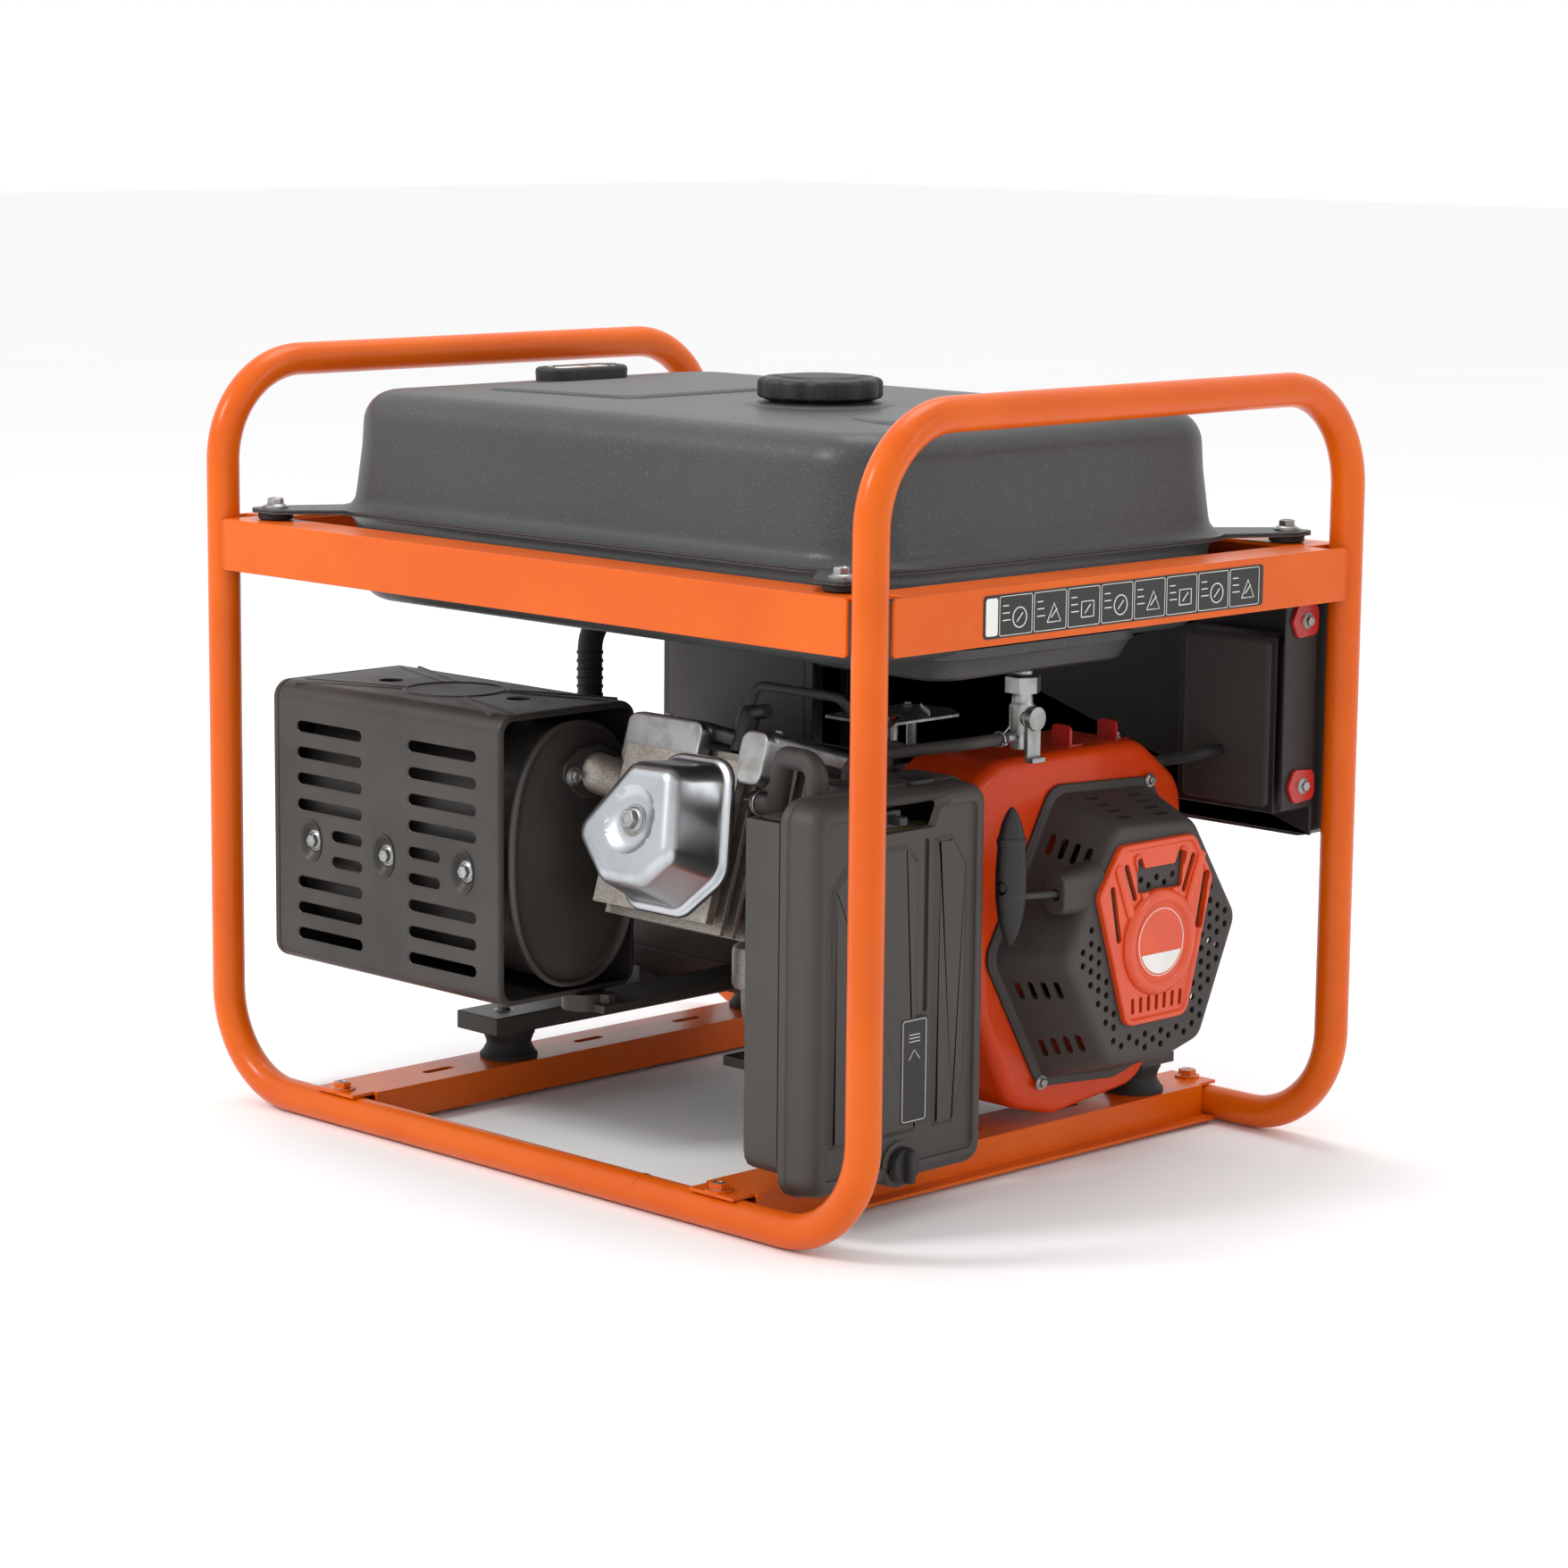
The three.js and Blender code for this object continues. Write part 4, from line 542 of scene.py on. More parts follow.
def shifted(points, du, dv):
    return [(u + du, v + dv) for u, v in points]


def circle(radius, count=32, centre=(0, 0), flat=1.0):
    return [(centre[0] + radius * math.cos(TAU * i / count),
             centre[1] + flat * radius * math.sin(TAU * i / count))
            for i in range(count)]


def squared_oval(centre, half_u, half_v, power, count):
    """An oval that is squarer than an ellipse, the more so the higher the power is over 2."""
    points = []
    for step in range(count):
        turn = TAU * step / count
        c, s = math.cos(turn), math.sin(turn)
        size = (abs(c) ** power + abs(s) ** power) ** (-1 / power)
        points.append((centre[0] + half_u * c * size, centre[1] + half_v * s * size))
    return points


def quarter_turn(steps):
    """How far a rolled edge is below and inside its corner, in shares of its radius."""
    turns = [math.pi / 2 * step / steps for step in range(steps + 1)]
    return [(1 - math.sin(turn), 1 - math.cos(turn)) for turn in turns]


def pill(centre, length, width, angle=0.0, steps=5):
    """A slot's outline: straight sides with round ends."""
    points = []
    reach = (length - width) / 2
    for side in (1, -1):
        for step in range(steps + 1):
            turn = -math.pi / 2 + math.pi * step / steps
            u = side * (reach + width / 2 * math.cos(turn))
            v = side * width / 2 * math.sin(turn)
            points.append((centre[0] + u * math.cos(angle) - v * math.sin(angle),
                           centre[1] + u * math.sin(angle) + v * math.cos(angle)))
    return points


def stack(name, rings):
    """A closed body extruded from one ring of points through the next, each ring with the same count."""
    nothing_selected()
    bpy.ops.mesh.primitive_circle_add(vertices=len(rings[0]), radius=1, fill_type="NGON")
    piece = bpy.context.object
    piece.name = name
    for vertex, point in zip(piece.data.vertices, rings[0]):
        vertex.co = point
    edit(piece, "FACE")
    bpy.ops.mesh.select_all(action="SELECT")
    for before, after in zip(rings, rings[1:]):
        bpy.ops.mesh.extrude_region_move()
        mesh = bmesh.from_edit_mesh(piece.data)
        old = [Vector(point) for point in before]
        for vertex in mesh.verts:
            if vertex.select:
                nearest = min(range(len(old)), key=lambda i: (old[i] - vertex.co).length_squared)
                vertex.co = after[nearest]
        bmesh.update_edit_mesh(piece.data)
    return outward(piece)


def body_through(name, axis, outlines):
    """A body through outlines given as (place along the axis, points)."""
    return stack(name, [[place(axis, at, u, v) for u, v in points] for at, points in outlines])


def slab(name, axis, points, span, edge=0.0):
    """A prism, whose end at span[1] has rounded edges where an edge is given."""
    steps = [(span[0], points)]
    if edge:
        sign = 1 if span[1] > span[0] else -1
        rim = quarter_turn(3)
        steps += [(span[1] - sign * edge * drop, inset(points, edge * back)) for drop, back in rim]
    else:
        steps.append((span[1], points))
    return body_through(name, axis, steps)


def turned(name, axis, centre, profile, count=32):
    """A body turned on an axis, from (place along the axis, radius) pairs."""
    return body_through(name, axis, [(at, circle(radius, count, centre)) for at, radius in profile])


def bent_path(points, bend, steps=10):
    """The points with each inner corner turned into an arc of the bend radius."""
    points = [Vector(point) for point in points]
    path = [points[0]]
    for before, corner, after in zip(points, points[1:], points[2:]):
        if (before - corner).angle(after - corner) / 2 > math.radians(89):
            path.append(corner)
        else:
            path += corner_arc(before, corner, after, bend, steps)
    path.append(points[-1])
    return path


def tube(name, points, radius, bend=0.0, steps=10, resolution=6):
    """A round tube along the points, closed at its ends."""
    curve = bpy.data.curves.new(name, "CURVE")
    curve.dimensions = "3D"
    curve.bevel_depth = radius
    curve.bevel_resolution = resolution
    curve.use_fill_caps = True
    path = bent_path(points, bend, steps) if bend else [Vector(point) for point in points]
    spline = curve.splines.new("POLY")
    spline.points.add(len(path) - 1)
    for target, point in zip(spline.points, path):
        target.co = (*point, 1.0)
    piece = bpy.data.objects.new(name, curve)
    bpy.context.scene.collection.objects.link(piece)
    only(piece)
    bpy.ops.object.convert(target="MESH")
    return outward(bpy.context.object)


def outline_line(name, points, radius, resolution=1):
    """A thin raised line round a closed outline."""
    return tube(name, points + points[:1], radius, resolution=resolution)


def moved_copy(piece, matrix, name):
    copy = bpy.data.objects.new(name, piece.data.copy())
    bpy.context.scene.collection.objects.link(copy)
    copy.data.transform(matrix)
    return copy


def aimed(at, direction, size=1.0):
    """The matrix that puts +Z along the direction, at a place."""
    turn = Vector(direction).to_track_quat("Z", "Y").to_matrix().to_4x4()
    return Matrix.Translation(at) @ turn @ Matrix.Scale(size, 4)


def make_hex_bolt():
    """A flanged hexagon head, 10 mm across flats, standing on z = 0, with a pressed washer under it."""
    head = body_through("hex_head", "z", [
        (1.6, circle(5.7, 6)), (5.6, circle(5.7, 6)), (6.4, circle(4.9, 6))])
    round_edges(head, 0.35, 2, 35)
    flange = turned("bolt_flange", "z", (0, 0), [(0.9, 7.4), (1.3, 7.4), (2.2, 6.2), (2.6, 5.2)], 28)
    washer = turned("washer", "z", (0, 0), [(-0.6, 8.9), (0.6, 8.9), (0.95, 8.6)], 32)
    dent = turned("dent", "z", (0, 0), [(7.0, 3.2), (5.9, 2.6)], 20)
    return merge([carve(head, [dent]), flange, washer], "hex_bolt")


def bolts(name, seats, size=1.0):
    """Hexagon bolts at (place, direction) seats, as one piece."""
    copies = [moved_copy(HEX_BOLT, aimed(at, direction, size), name) for at, direction in seats]
    finish_piece(merge(copies, name), ZINC, degrees=30)


def weld_bead(points, radius=1.9):
    """A rippled fillet along the points."""
    path = bent_path(points, 3.0, 4)
    blobs = []
    run = 0.0
    for start, end in zip(path, path[1:]):
        length = (end - start).length
        while run < length:
            centre = start.lerp(end, run / length if length else 0)
            nothing_selected()
            bpy.ops.mesh.primitive_ico_sphere_add(subdivisions=2, radius=radius, location=centre)
            blobs.append(settle(bpy.context.object))
            run += radius * 0.75
        run -= length
    bead = merge(blobs, "weld_bead")
    modify(bead, "REMESH", mode="VOXEL", voxel_size=0.55)
    return bead


# ---------------------------------------------------------------- camera, lights and floor
def studio():
    camera_data = bpy.data.cameras.new("camera")
    camera_data.lens = 99.18
    camera_data.sensor_width = 36.0
    camera_data.clip_end = 50.0
    camera = bpy.data.objects.new("camera", camera_data)
    bpy.context.scene.collection.objects.link(camera)
    turn = Matrix.Rotation(math.radians(44.832), 4, "Z")
    tilt = Matrix.Rotation(math.radians(90 - 9.418), 4, "X")
    roll = Matrix.Rotation(math.radians(0.57), 4, "Z")
    camera.matrix_world = Matrix.Translation((2.3196, -2.3200, 0.8083)) @ turn @ tilt @ roll
    bpy.context.scene.camera = camera

    def area_light(name, at, aim, size, power):
        data = bpy.data.lights.new(name, "AREA")
        data.shape = "RECTANGLE"
        data.size, data.size_y = size
        data.energy = power
        light = bpy.data.objects.new(name, data)
        bpy.context.scene.collection.objects.link(light)
        light.location = at
        light.rotation_euler = (Vector(aim) - Vector(at)).to_track_quat("-Z", "Y").to_euler()

    area_light("key_light", (-1.4, -3.2, 3.0), (0, 0, 0.3), (1.0, 1.0), 75)
    area_light("side_light", (3.4, 1.6, 1.6), (0, 0, 0.3), (0.8, 1.4), 10)
    area_light("top_light", (-0.4, 0.6, 3.2), (0, 0, 0.4), (1.6, 1.6), 34)
    area_light("low_fill", (2.6, -3.0, 0.5), (0, 0, 0.3), (2.2, 1.0), 4)

    world = bpy.data.worlds.new("studio_air")
    world.use_nodes = True
    background = world.node_tree.nodes["Background"]
    background.inputs["Color"].default_value = (1.0, 1.0, 1.0, 1.0)
    background.inputs["Strength"].default_value = 1.0
    bpy.context.scene.world = world

    nothing_selected()
    bpy.ops.mesh.primitive_plane_add(size=40.0, location=(0, 0, -0.0005))
    floor = bpy.context.object
    floor.name = "floor"
    pale = Shader("pale_floor")
    pale.feed("Base Color", pale.mix(pale.noise(2.0, 3.0), (0.95, 0.95, 0.95, 1.0), (0.93, 0.93, 0.93, 1.0)))
    pale.feed("Roughness", 0.9)
    floor.data.materials.append(pale.material)
    bpy.context.scene.view_settings.view_transform = "Standard"


# ---------------------------------------------------------------- frame
def make_frame():
    tube_radius = 12.7
    post_x, post_y, top_z = [value / MM - tube_radius for value in cad_high]
    seam = 130.0
    for side, node in ((-1, "frame_tube_left"), (1, "frame_tube_right")):
        path = [(seam, -post_y, tube_radius), (side * post_x, -post_y, tube_radius),
                (side * post_x, -post_y, top_z), (side * post_x, post_y, top_z),
                (side * post_x, post_y, tube_radius), (-seam, post_y, tube_radius)]
        piece = tube(node + "_smooth", path, tube_radius, 76.0, 20, 8)
        if side < 0:
            hole = turned("drain_hole", "z", (0, 0), [(-7.0, 2.9), (9.0, 2.9)], 16)
            hole.data.transform(aimed((-post_x - 10.2, -post_y - 5.4, 408), (-0.86, -0.5, 0)))
            slot = turned("drain_slot", "z", (-310, -post_y), [(-3.0, 3.2), (4.0, 3.2)], 16)
            carve(piece, [hole, slot])
        finish_piece(piece, ORANGE, node, 40)
    # the butt welds of the loop, ground flush outside and below
    for x, y in ((seam, -post_y), (-seam, post_y)):
        inward = -1 if y > 0 else 1
        turns = [math.radians(-20 + 170 * step / 24) for step in range(25)]
        ring = [(x, y + inward * (tube_radius - 0.5) * math.cos(turn),
                 tube_radius + (tube_radius - 0.5) * math.sin(turn)) for turn in turns]
        finish_piece(tube("butt_weld", ring, 1.1, resolution=3), ORANGE)

    for node in ("rail_front", "rail_back", "rail_left", "rail_right"):
        dress(node, ORANGE, edge=1.2, segments=3)
    # fillet welds where the rails meet the posts
    rail_low, rail_high = box_of("rail_front")
    side_low, side_high = box_of("rail_right")
    beads = []
    for sx in (-1, 1):
        for sy in (-1, 1):
            face_y = sy * (abs(rail_low[1]) - 0.4)
            face_x = sx * (abs(side_high[0]) - 0.4)
            for x, y, low, high in ((sx * (rail_high[0] + 0.2), face_y - sy * 0.6, rail_low, rail_high),
                                    (face_x - sx * 0.6, sy * (side_high[1] + 0.2), side_low, side_high)):
                beads.append(weld_bead([(x, y, low[2] + 3), (x, y, high[2] - 1.5)]))
    finish_piece(merge(beads, "rail_welds"), ORANGE)


MOUNT_X = 208.0
ALTERNATOR_MOUNTS_Y = (-86, 192)
ENGINE_MOUNTS_Y = (-36, 192)


def make_base():
    for side, node in ((-1, "base_rail_left"), (1, "base_rail_right")):
        dress(node, ORANGE, edge=0.9)
        rail_top = box_of(node)[1][2]
        bolts(node + "_bolts", [((side * MOUNT_X, y, rail_top - 5.9), UP) for y in (-257.0, 257.0)], 0.98)
    for node in ("rubber_mount_front_left", "rubber_mount_back_left", "rubber_mount_front_right",
                 "rubber_mount_back_right"):
        low, high = box_of(node)
        wide = (high[0] - low[0]) / 2
        height = high[2] - low[2]
        profile = [(low[2], wide), (low[2] + 3, wide), (low[2] + 4, wide - 1.5),
                   (low[2] + height * 0.45, wide - 5), (low[2] + height * 0.55, wide - 5),
                   (high[2] - 5, wide - 3), (high[2] - 4, wide - 2.2), (high[2], wide - 2.2)]
        pad = turned(node + "_turned", "z", middle_of(low, high)[:2], profile, 36)
        finish_piece(pad, RUBBER, node, 30)
    mounts = [(-MOUNT_X, y) for y in ALTERNATOR_MOUNTS_Y] + [(MOUNT_X, y) for y in ENGINE_MOUNTS_Y]
    for plate in [turned("mount_washer", "z", mount, [(28.5, 14), (30.2, 14)], 28) for mount in mounts]:
        finish_piece(plate, ZINC)
    for node in ("engine_cradle", "alternator_crossbar", "muffler_bracket"):
        dress(node, HEAT_BLACK, edge=1.2)
    cradle_seats = [(MOUNT_X, -36), (MOUNT_X, 192), (30, -40), (120, -40), (30, 160), (120, 160)]
    bolts("cradle_bolts", [((x, y, 59.0), UP) for x, y in cradle_seats], 0.9)
    bolts("crossbar_bolts", [((-MOUNT_X, y, 66.0), UP) for y in (-92, 198)], 0.9)


# ---------------------------------------------------------------- fuel tank
TANK_HALF_X, TANK_HALF_Y, TANK_CORNER = 290.0, 203.0, 58.0
TANK_TOP, TANK_BOTTOM = 560.0, 398.0
TANK_BOLT_X, TANK_BOLT_Y = 305, 239.8
FLANGE_THICKNESS = 1.5


def tank_ring(z, offset):
    """The tank's plan at a height, moved outwards by the offset."""
    half_x, half_y = TANK_HALF_X + offset, TANK_HALF_Y + offset
    plan = rectangle(-half_x, half_x, -half_y, half_y)
    return [(x, y, z) for x, y in rounded(plan, TANK_CORNER + offset, 12)]


def make_tank():
    seam = box_of("tank_upper")[0][2]
    edge = 25.0
    # (height over the seam, how far the wall stands out): the flared foot, then the wall
    levels = [(1.4, 9.5), (2.2, 8.2), (3.4, 6.0), (5.2, 3.6), (7.5, 1.6), (10.5, 0.3), (15, -0.6),
              (TANK_TOP - seam - edge - 18, -5.2)]
    rings = [tank_ring(seam + height, out) for height, out in levels]
    rings += [tank_ring(TANK_TOP - edge * drop, -6.4 - edge * back) for drop, back in quarter_turn(8)]
    rings += [tank_ring(TANK_TOP + 0.7, -50), tank_ring(TANK_TOP + 0.9, -57)]
    shell = stack("tank_shell_upper", rings)
    # the pressed stiffening: two raised fields that narrow towards each other beside the filler
    fields = []
    for points in ([(-205, -120), (-60, -96), (-60, 96), (-205, 120)],
                   [(170, -96), (232, -120), (232, 120), (170, 96)]):
        outline = rounded(points, 16, 5)
        fields.append(body_through("field", "z", [
            (TANK_TOP - 6, outline), (TANK_TOP + 1.2, outline), (TANK_TOP + 2.6, inset(outline, 2.4)),
            (TANK_TOP + 3.2, inset(outline, 5.0))]))
    fields.append(turned("filler_seat", "z", (60, -13), [
        (TANK_TOP - 6, 58), (TANK_TOP + 1.0, 58), (TANK_TOP + 2.2, 55), (TANK_TOP + 2.6, 51)], 48))
    carve(shell, fields, "UNION")
    finish_piece(shell, TANK, "tank_upper", 30)

    for name, z in (("upper_flange", seam + 0.1), ("lower_flange", seam - 0.3 - FLANGE_THICKNESS)):
        make_flange(name, z)
    corners = [(sx * TANK_BOLT_X, sy * TANK_BOLT_Y) for sx in (-1, 1) for sy in (-1, 1)]
    bolts("tank_bolts", [((x, y, seam + 2.3), UP) for x, y in corners], 1.12)
    pad = [(460.4, 12), (461.2, 13.5), (seam - 2.6, 13.5), (seam - 1.9, 12)]
    finish_piece(merge([turned("pad", "z", corner, pad, 32) for corner in corners], "tank_pads"), RUBBER)

    edge = 20.0
    levels = [(-2.0, 9), (-4.0, 5), (-7.0, 1.5), (-11.0, 0)]
    rings = [tank_ring(seam + height, out) for height, out in levels]
    rings += [tank_ring(TANK_BOTTOM + edge * drop, -5 - edge * back) for drop, back in quarter_turn(7)]
    pan = stack("tank_shell_lower", rings)
    sump_outline = rounded(rectangle(200 - 76, 200 + 76, -110, 110), 30, 8)
    sump_bottom = box_of("tank_lower")[0][2]
    sump_levels = [(TANK_BOTTOM + 6, -6), (TANK_BOTTOM - 1, -5), (TANK_BOTTOM - 3, -2), (sump_bottom + 8, 2),
                   (sump_bottom + 3, 4.5), (sump_bottom + 0.4, 10)]
    sump = body_through("sump", "z", [(z, inset(sump_outline, amount)) for z, amount in sump_levels])
    carve(pan, [sump], "UNION")
    finish_piece(pan, TANK, "tank_lower", 30)

    make_fuel_cap()
    make_fuel_gauge()


def make_flange(name, z):
    """One of the two flanges at the tank's seam, with an ear at each corner for a bolt."""
    plate = stack(name, [tank_ring(z, 13), tank_ring(z + FLANGE_THICKNESS, 13)])
    ears = []
    for sx in (-1, 1):
        for sy in (-1, 1):
            points = [(TANK_BOLT_X + 16, TANK_BOLT_Y - 8), (TANK_BOLT_X + 15, TANK_BOLT_Y + 12),
                      (TANK_BOLT_X + 8, TANK_BOLT_Y + 15), (TANK_BOLT_X - 14, TANK_BOLT_Y + 14),
                      (236, 188), (275, 150)]
            points = [(sx * x, sy * y) for x, y in points]
            if sx * sy < 0:
                points.reverse()
            ears.append(slab("ear", "z", rounded(points, 7, 4), (z, z + FLANGE_THICKNESS)))
    for ear in ears:
        carve(plate, [ear], "UNION")
    round_edges(plate, 0.5, 2, 40)
    finish_piece(plate, TANK, degrees=30)


def make_fuel_cap():
    low, high = box_of("fuel_cap")
    centre = middle_of(low, high)[:2]
    wide = (high[0] - low[0]) / 2
    lobes = 12

    def lobed(radius, depth):
        points = []
        for step in range(96):
            turn = TAU * step / 96
            wave = (1 + math.cos(lobes * turn)) / 2
            points.append((centre[0] + (radius - depth * wave ** 3) * math.cos(turn),
                           centre[1] + (radius - depth * wave ** 3) * math.sin(turn)))
        return points

    bottom, top = low[2], high[2]
    # (height, how far inside the widest radius, depth of the scallops)
    levels = [(bottom + 3.2, 8, 0), (bottom + 3.8, 6.5, 0), (bottom + 5.5, 1.5, 2.6), (bottom + 7, 0, 3.2),
              (top - 5, 0, 3.2), (top - 2.6, 1.3, 3.0), (top - 1.4, 4.0, 2.2), (top - 1.2, 9, 0),
              (top - 2.6, 11, 0), (top - 2.8, 15, 0), (top - 0.4, 17.5, 0), (top, 20, 0), (top, 40, 0)]
    levels = [(z, lobed(wide - inside, depth)) for z, inside, depth in levels]
    cap = body_through("fuel_cap_lobed", "z", levels)
    finish_piece(cap, BLACK_PLASTIC, "fuel_cap", 40, "fuel_cap")
    neck = [(555, 36), (bottom + 2.9, 36), (bottom + 2.9, 33), (556, 33)]
    finish_piece(turned("filler_neck", "z", centre, neck, 40), TANK)


def make_fuel_gauge():
    low, high = box_of("fuel_gauge")
    outline = rounded(rectangle(low[0], high[0], low[1], high[1]), 15, 8)
    levels = [(low[2] - 0.2, 0.4), (high[2] - 3, 0), (high[2] - 1, 0.8), (high[2], 2.5), (high[2], 5.2),
              (high[2] - 0.9, 6.0), (high[2] - 1.1, 7.5)]
    rim = body_through("fuel_gauge_rim", "z", [(z, inset(outline, amount)) for z, amount in levels])
    finish_piece(rim, BLACK_PLASTIC, "fuel_gauge", 40)
    x, y = middle_of(low, high)[:2]
    pane = rounded(rectangle(x - 8, x + 8, y - 26, y + 26), 7, 6)
    finish_piece(slab("gauge_window", "z", pane, (high[2] - 2, high[2] - 0.5), 0.4), WHITE_PLASTIC)
    needle = rectangle(x - 6, x + 6, y + 3, y + 5)
    finish_piece(slab("gauge_needle", "z", needle, (high[2] - 1, high[2] - 0.2)), RED_PLASTIC)
    bolts("gauge_screws", [((x, y + reach, high[2] - 1.6), UP) for reach in (-34, 34)], 0.42)


# ---------------------------------------------------------------- muffler
def make_muffler():
    low, high = box_of("muffler_heat_shield")
    x0, y0, z0 = low
    x1, y1, z1 = high
    width = x1 - x0
    profile = rounded(rectangle(y0, y1, z0, z1), 14, 8)
    bend = 5.5
    levels = [(x0 + bend * drop, inset(profile, bend * back)) for drop, back in reversed(quarter_turn(4))]
    levels += [(x0 + 8.0, profile), (x0 + 8.35, inset(profile, 0.75)), (x0 + 9.1, inset(profile, 0.75)),
               (x0 + 9.5, profile), (x1 - 3.5, profile), (x1 - 1.6, inset(profile, 0.7)),
               (x1 - 0.5, inset(profile, 2.4)), (x1, inset(profile, 4.6))]
    box = body_through("heat_shield", "x", levels)
    remove_faces(box, lambda middle, normal: middle.x > x1 - 0.2 and normal.x > 0.9)
    modify(box, "SOLIDIFY", thickness=1.5, offset=-1.0)

    cutters = []
    pitch = (z1 - z0) * 0.0925
    for row in range(9):
        short = row in (4, 5)
        z = z1 - 33 - row * pitch
        spans = ((x0 + (0.27 if short else 0.116) * width, x0 + 0.404 * width),
                 (x0 + 0.61 * width, x1 - (0.255 if short else 0.101) * width))
        for start, end in spans:
            outline = pill(((start + end) / 2, z), end - start, 8.4)
            flare = [(-2.0, -3.6), (-0.05, -1.7), (0.5, -0.7), (1.0, -0.1), (3.2, 0.2)]
            cutters.append(body_through("louvre", "y", [(y0 + depth, inset(outline, amount))
                                                        for depth, amount in flare]))
    bolt_seats = [(x0 + share * width, z0 + 98) for share in (0.18, 0.505, 0.846)]
    for seat in bolt_seats:
        cutters.append(slab("dimple_hole", "y", circle(11.4, 36, seat, 1.35), (y0 - 2, y0 + 4)))
    # a pressed X round a disc in the top, with two holes for the canister's bolts
    top_middle = ((x0 + x1) / 2 + 4, (y0 + y1) / 2)
    top_bolts = [(x0 + 66, y0 + 66), (x1 - 62, y0 + 74)]
    for seat in top_bolts:
        cutters.append(slab("top_hole", "z", circle(9.5, 28, seat), (z1 - 4, z1 + 3)))
    carve(box, cutters)
    finish_piece(box, HEAT_BLACK, "muffler_heat_shield", 32)

    ribs = [outline_line("top_ring", [(x, y, z1 - 0.6) for x, y in circle(38, 48, top_middle)], 1.5, 3)]
    for sx in (-1, 1):
        for sy in (-1, 1):
            start = Vector((top_middle[0] + sx * 32, top_middle[1] + sy * 24, z1 - 0.9))
            reach_x, reach_y = width / 2 - 16, (y1 - y0) / 2 - 14
            end = Vector((top_middle[0] + sx * reach_x, top_middle[1] + sy * reach_y, z1 - 0.9))
            along = end - start
            side = Vector((-along.y, along.x, 0)).normalized() * 5
            for sign in (-1, 1):
                line = [start + side * sign, end + side * sign * 1.5]
                ribs.append(tube("top_rib", line, 1.7, resolution=3))
    finish_piece(merge(ribs, "heat_shield_ribs"), HEAT_BLACK, degrees=60)

    dishes = []
    dish_levels = [(-0.5, 12.6, 1.32), (-0.45, 11.9, 1.33), (0.6, 10.9, 1.34), (3.6, 9.2, 1.25),
                   (4.6, 7.6, 1.15), (4.8, 5.0, 1.0)]
    for seat in bolt_seats:
        dish = body_through("dish", "y", [(y0 + depth, circle(radius, 40, seat, flat))
                                          for depth, radius, flat in dish_levels])
        remove_faces(dish, lambda middle, normal: normal.y < -0.9 and abs(middle.y - y0 + 0.5) < 0.02)
        dishes.append(modify(dish, "SOLIDIFY", thickness=0.8, offset=0.0))
    finish_piece(merge(dishes, "heat_shield_dishes"), HEAT_BLACK, degrees=60)
    bolts("heat_shield_bolts", [((x, y0 + 4.6, z), TO_FRONT) for x, z in bolt_seats], 0.92)
    bolts("canister_top_bolts", [((x, y, z1 - 6.5), UP) for x, y in top_bolts], 0.7)
    make_canister(x1)


def make_canister(shield_end):
    low, high = box_of("muffler_canister")
    y, z = middle_of(low, high)[1:]

    def oval(extra):
        return squared_oval((y, z), 60.0 + extra, 96.0 + extra, 2.35, 72)

    end = shield_end + 2
    # the rolled rim and the dished end, as (place past the shield's end, how far outside the can)
    rim = [(-2.5, 0), (-1.0, 1.2), (-0.6, 3.4), (0.4, 4.4), (2.4, 4.6), (4.4, 4.2), (5.6, 2.8), (5.7, 1.4),
           (4.6, 0.2), (1.2, -1.0), (0.6, -3.0), (1.4, -7.0), (4.0, -15), (6.4, -27), (7.6, -40), (8.0, -54)]
    levels = [(low[0], -14), (low[0] + 3, -5), (low[0] + 7, 0)] + [(end + past, extra) for past, extra in rim]
    can = body_through("muffler_can", "x", [(x, oval(extra)) for x, extra in levels])
    finish_piece(can, HEAT_BLACK, "muffler_canister", 40)

    pipe_end = box_of("exhaust_pipe")[1][0]
    start = Vector((end + 5.0, y + 11, z + 62))
    finish = Vector((pipe_end - 0.2, y + 11 + 28, z + 62 - 14))
    path = [start, start + Vector((7, 1, -0.3)), start.lerp(finish, 0.55) + Vector((0, -1, 1)), finish]
    pipe = tube("exhaust_elbow", path, 15.4, 16, 8, 7)
    finish_piece(pipe, ALUMINIUM, "exhaust_pipe", 40)
    flange_outline = rounded([(start.y - 32, start.z - 3), (start.y - 12, start.z - 19),
                              (start.y + 12, start.z - 21), (start.y + 31, start.z - 4),
                              (start.y + 29, start.z + 9), (start.y + 8, start.z + 20),
                              (start.y - 12, start.z + 19), (start.y - 31, start.z + 8)], 9, 5)
    flange = slab("exhaust_flange", "x", flange_outline, (end + 5.0, end + 13.2), 1.4)
    finish_piece(flange, HEAT_BLACK)
    bolts("exhaust_bolts", [((end + 13.4, start.y - 22, start.z - 1), TO_STARTER),
                            ((end + 13.4, start.y + 22, start.z + 2), TO_STARTER)], 0.82)


# ---------------------------------------------------------------- recoil starter and blower
CRANK = [value / MM for value in frame["record"]["behaviour"]["joints"][0]["pos_m"]]
STARTER_OUTLINE = [(-44, 92), (44, 88), (97, 8), (57, -81), (17, -91), (-51, -86), (-99, -4), (-74, 39)]
BADGE_OUTLINE = [(-46, 78), (38, 78), (60, 43), (33, -59), (-36, -59), (-70, 43)]


def within(point, outline):
    inside = False
    for index, (u1, v1) in enumerate(outline):
        u0, v0 = outline[index - 1]
        if (v0 > point[1]) != (v1 > point[1]) and point[0] < (u1 - u0) * (point[1] - v0) / (v1 - v0) + u0:
            inside = not inside
    return inside


def around_crank(points):
    return shifted(points, CRANK[1], CRANK[2])


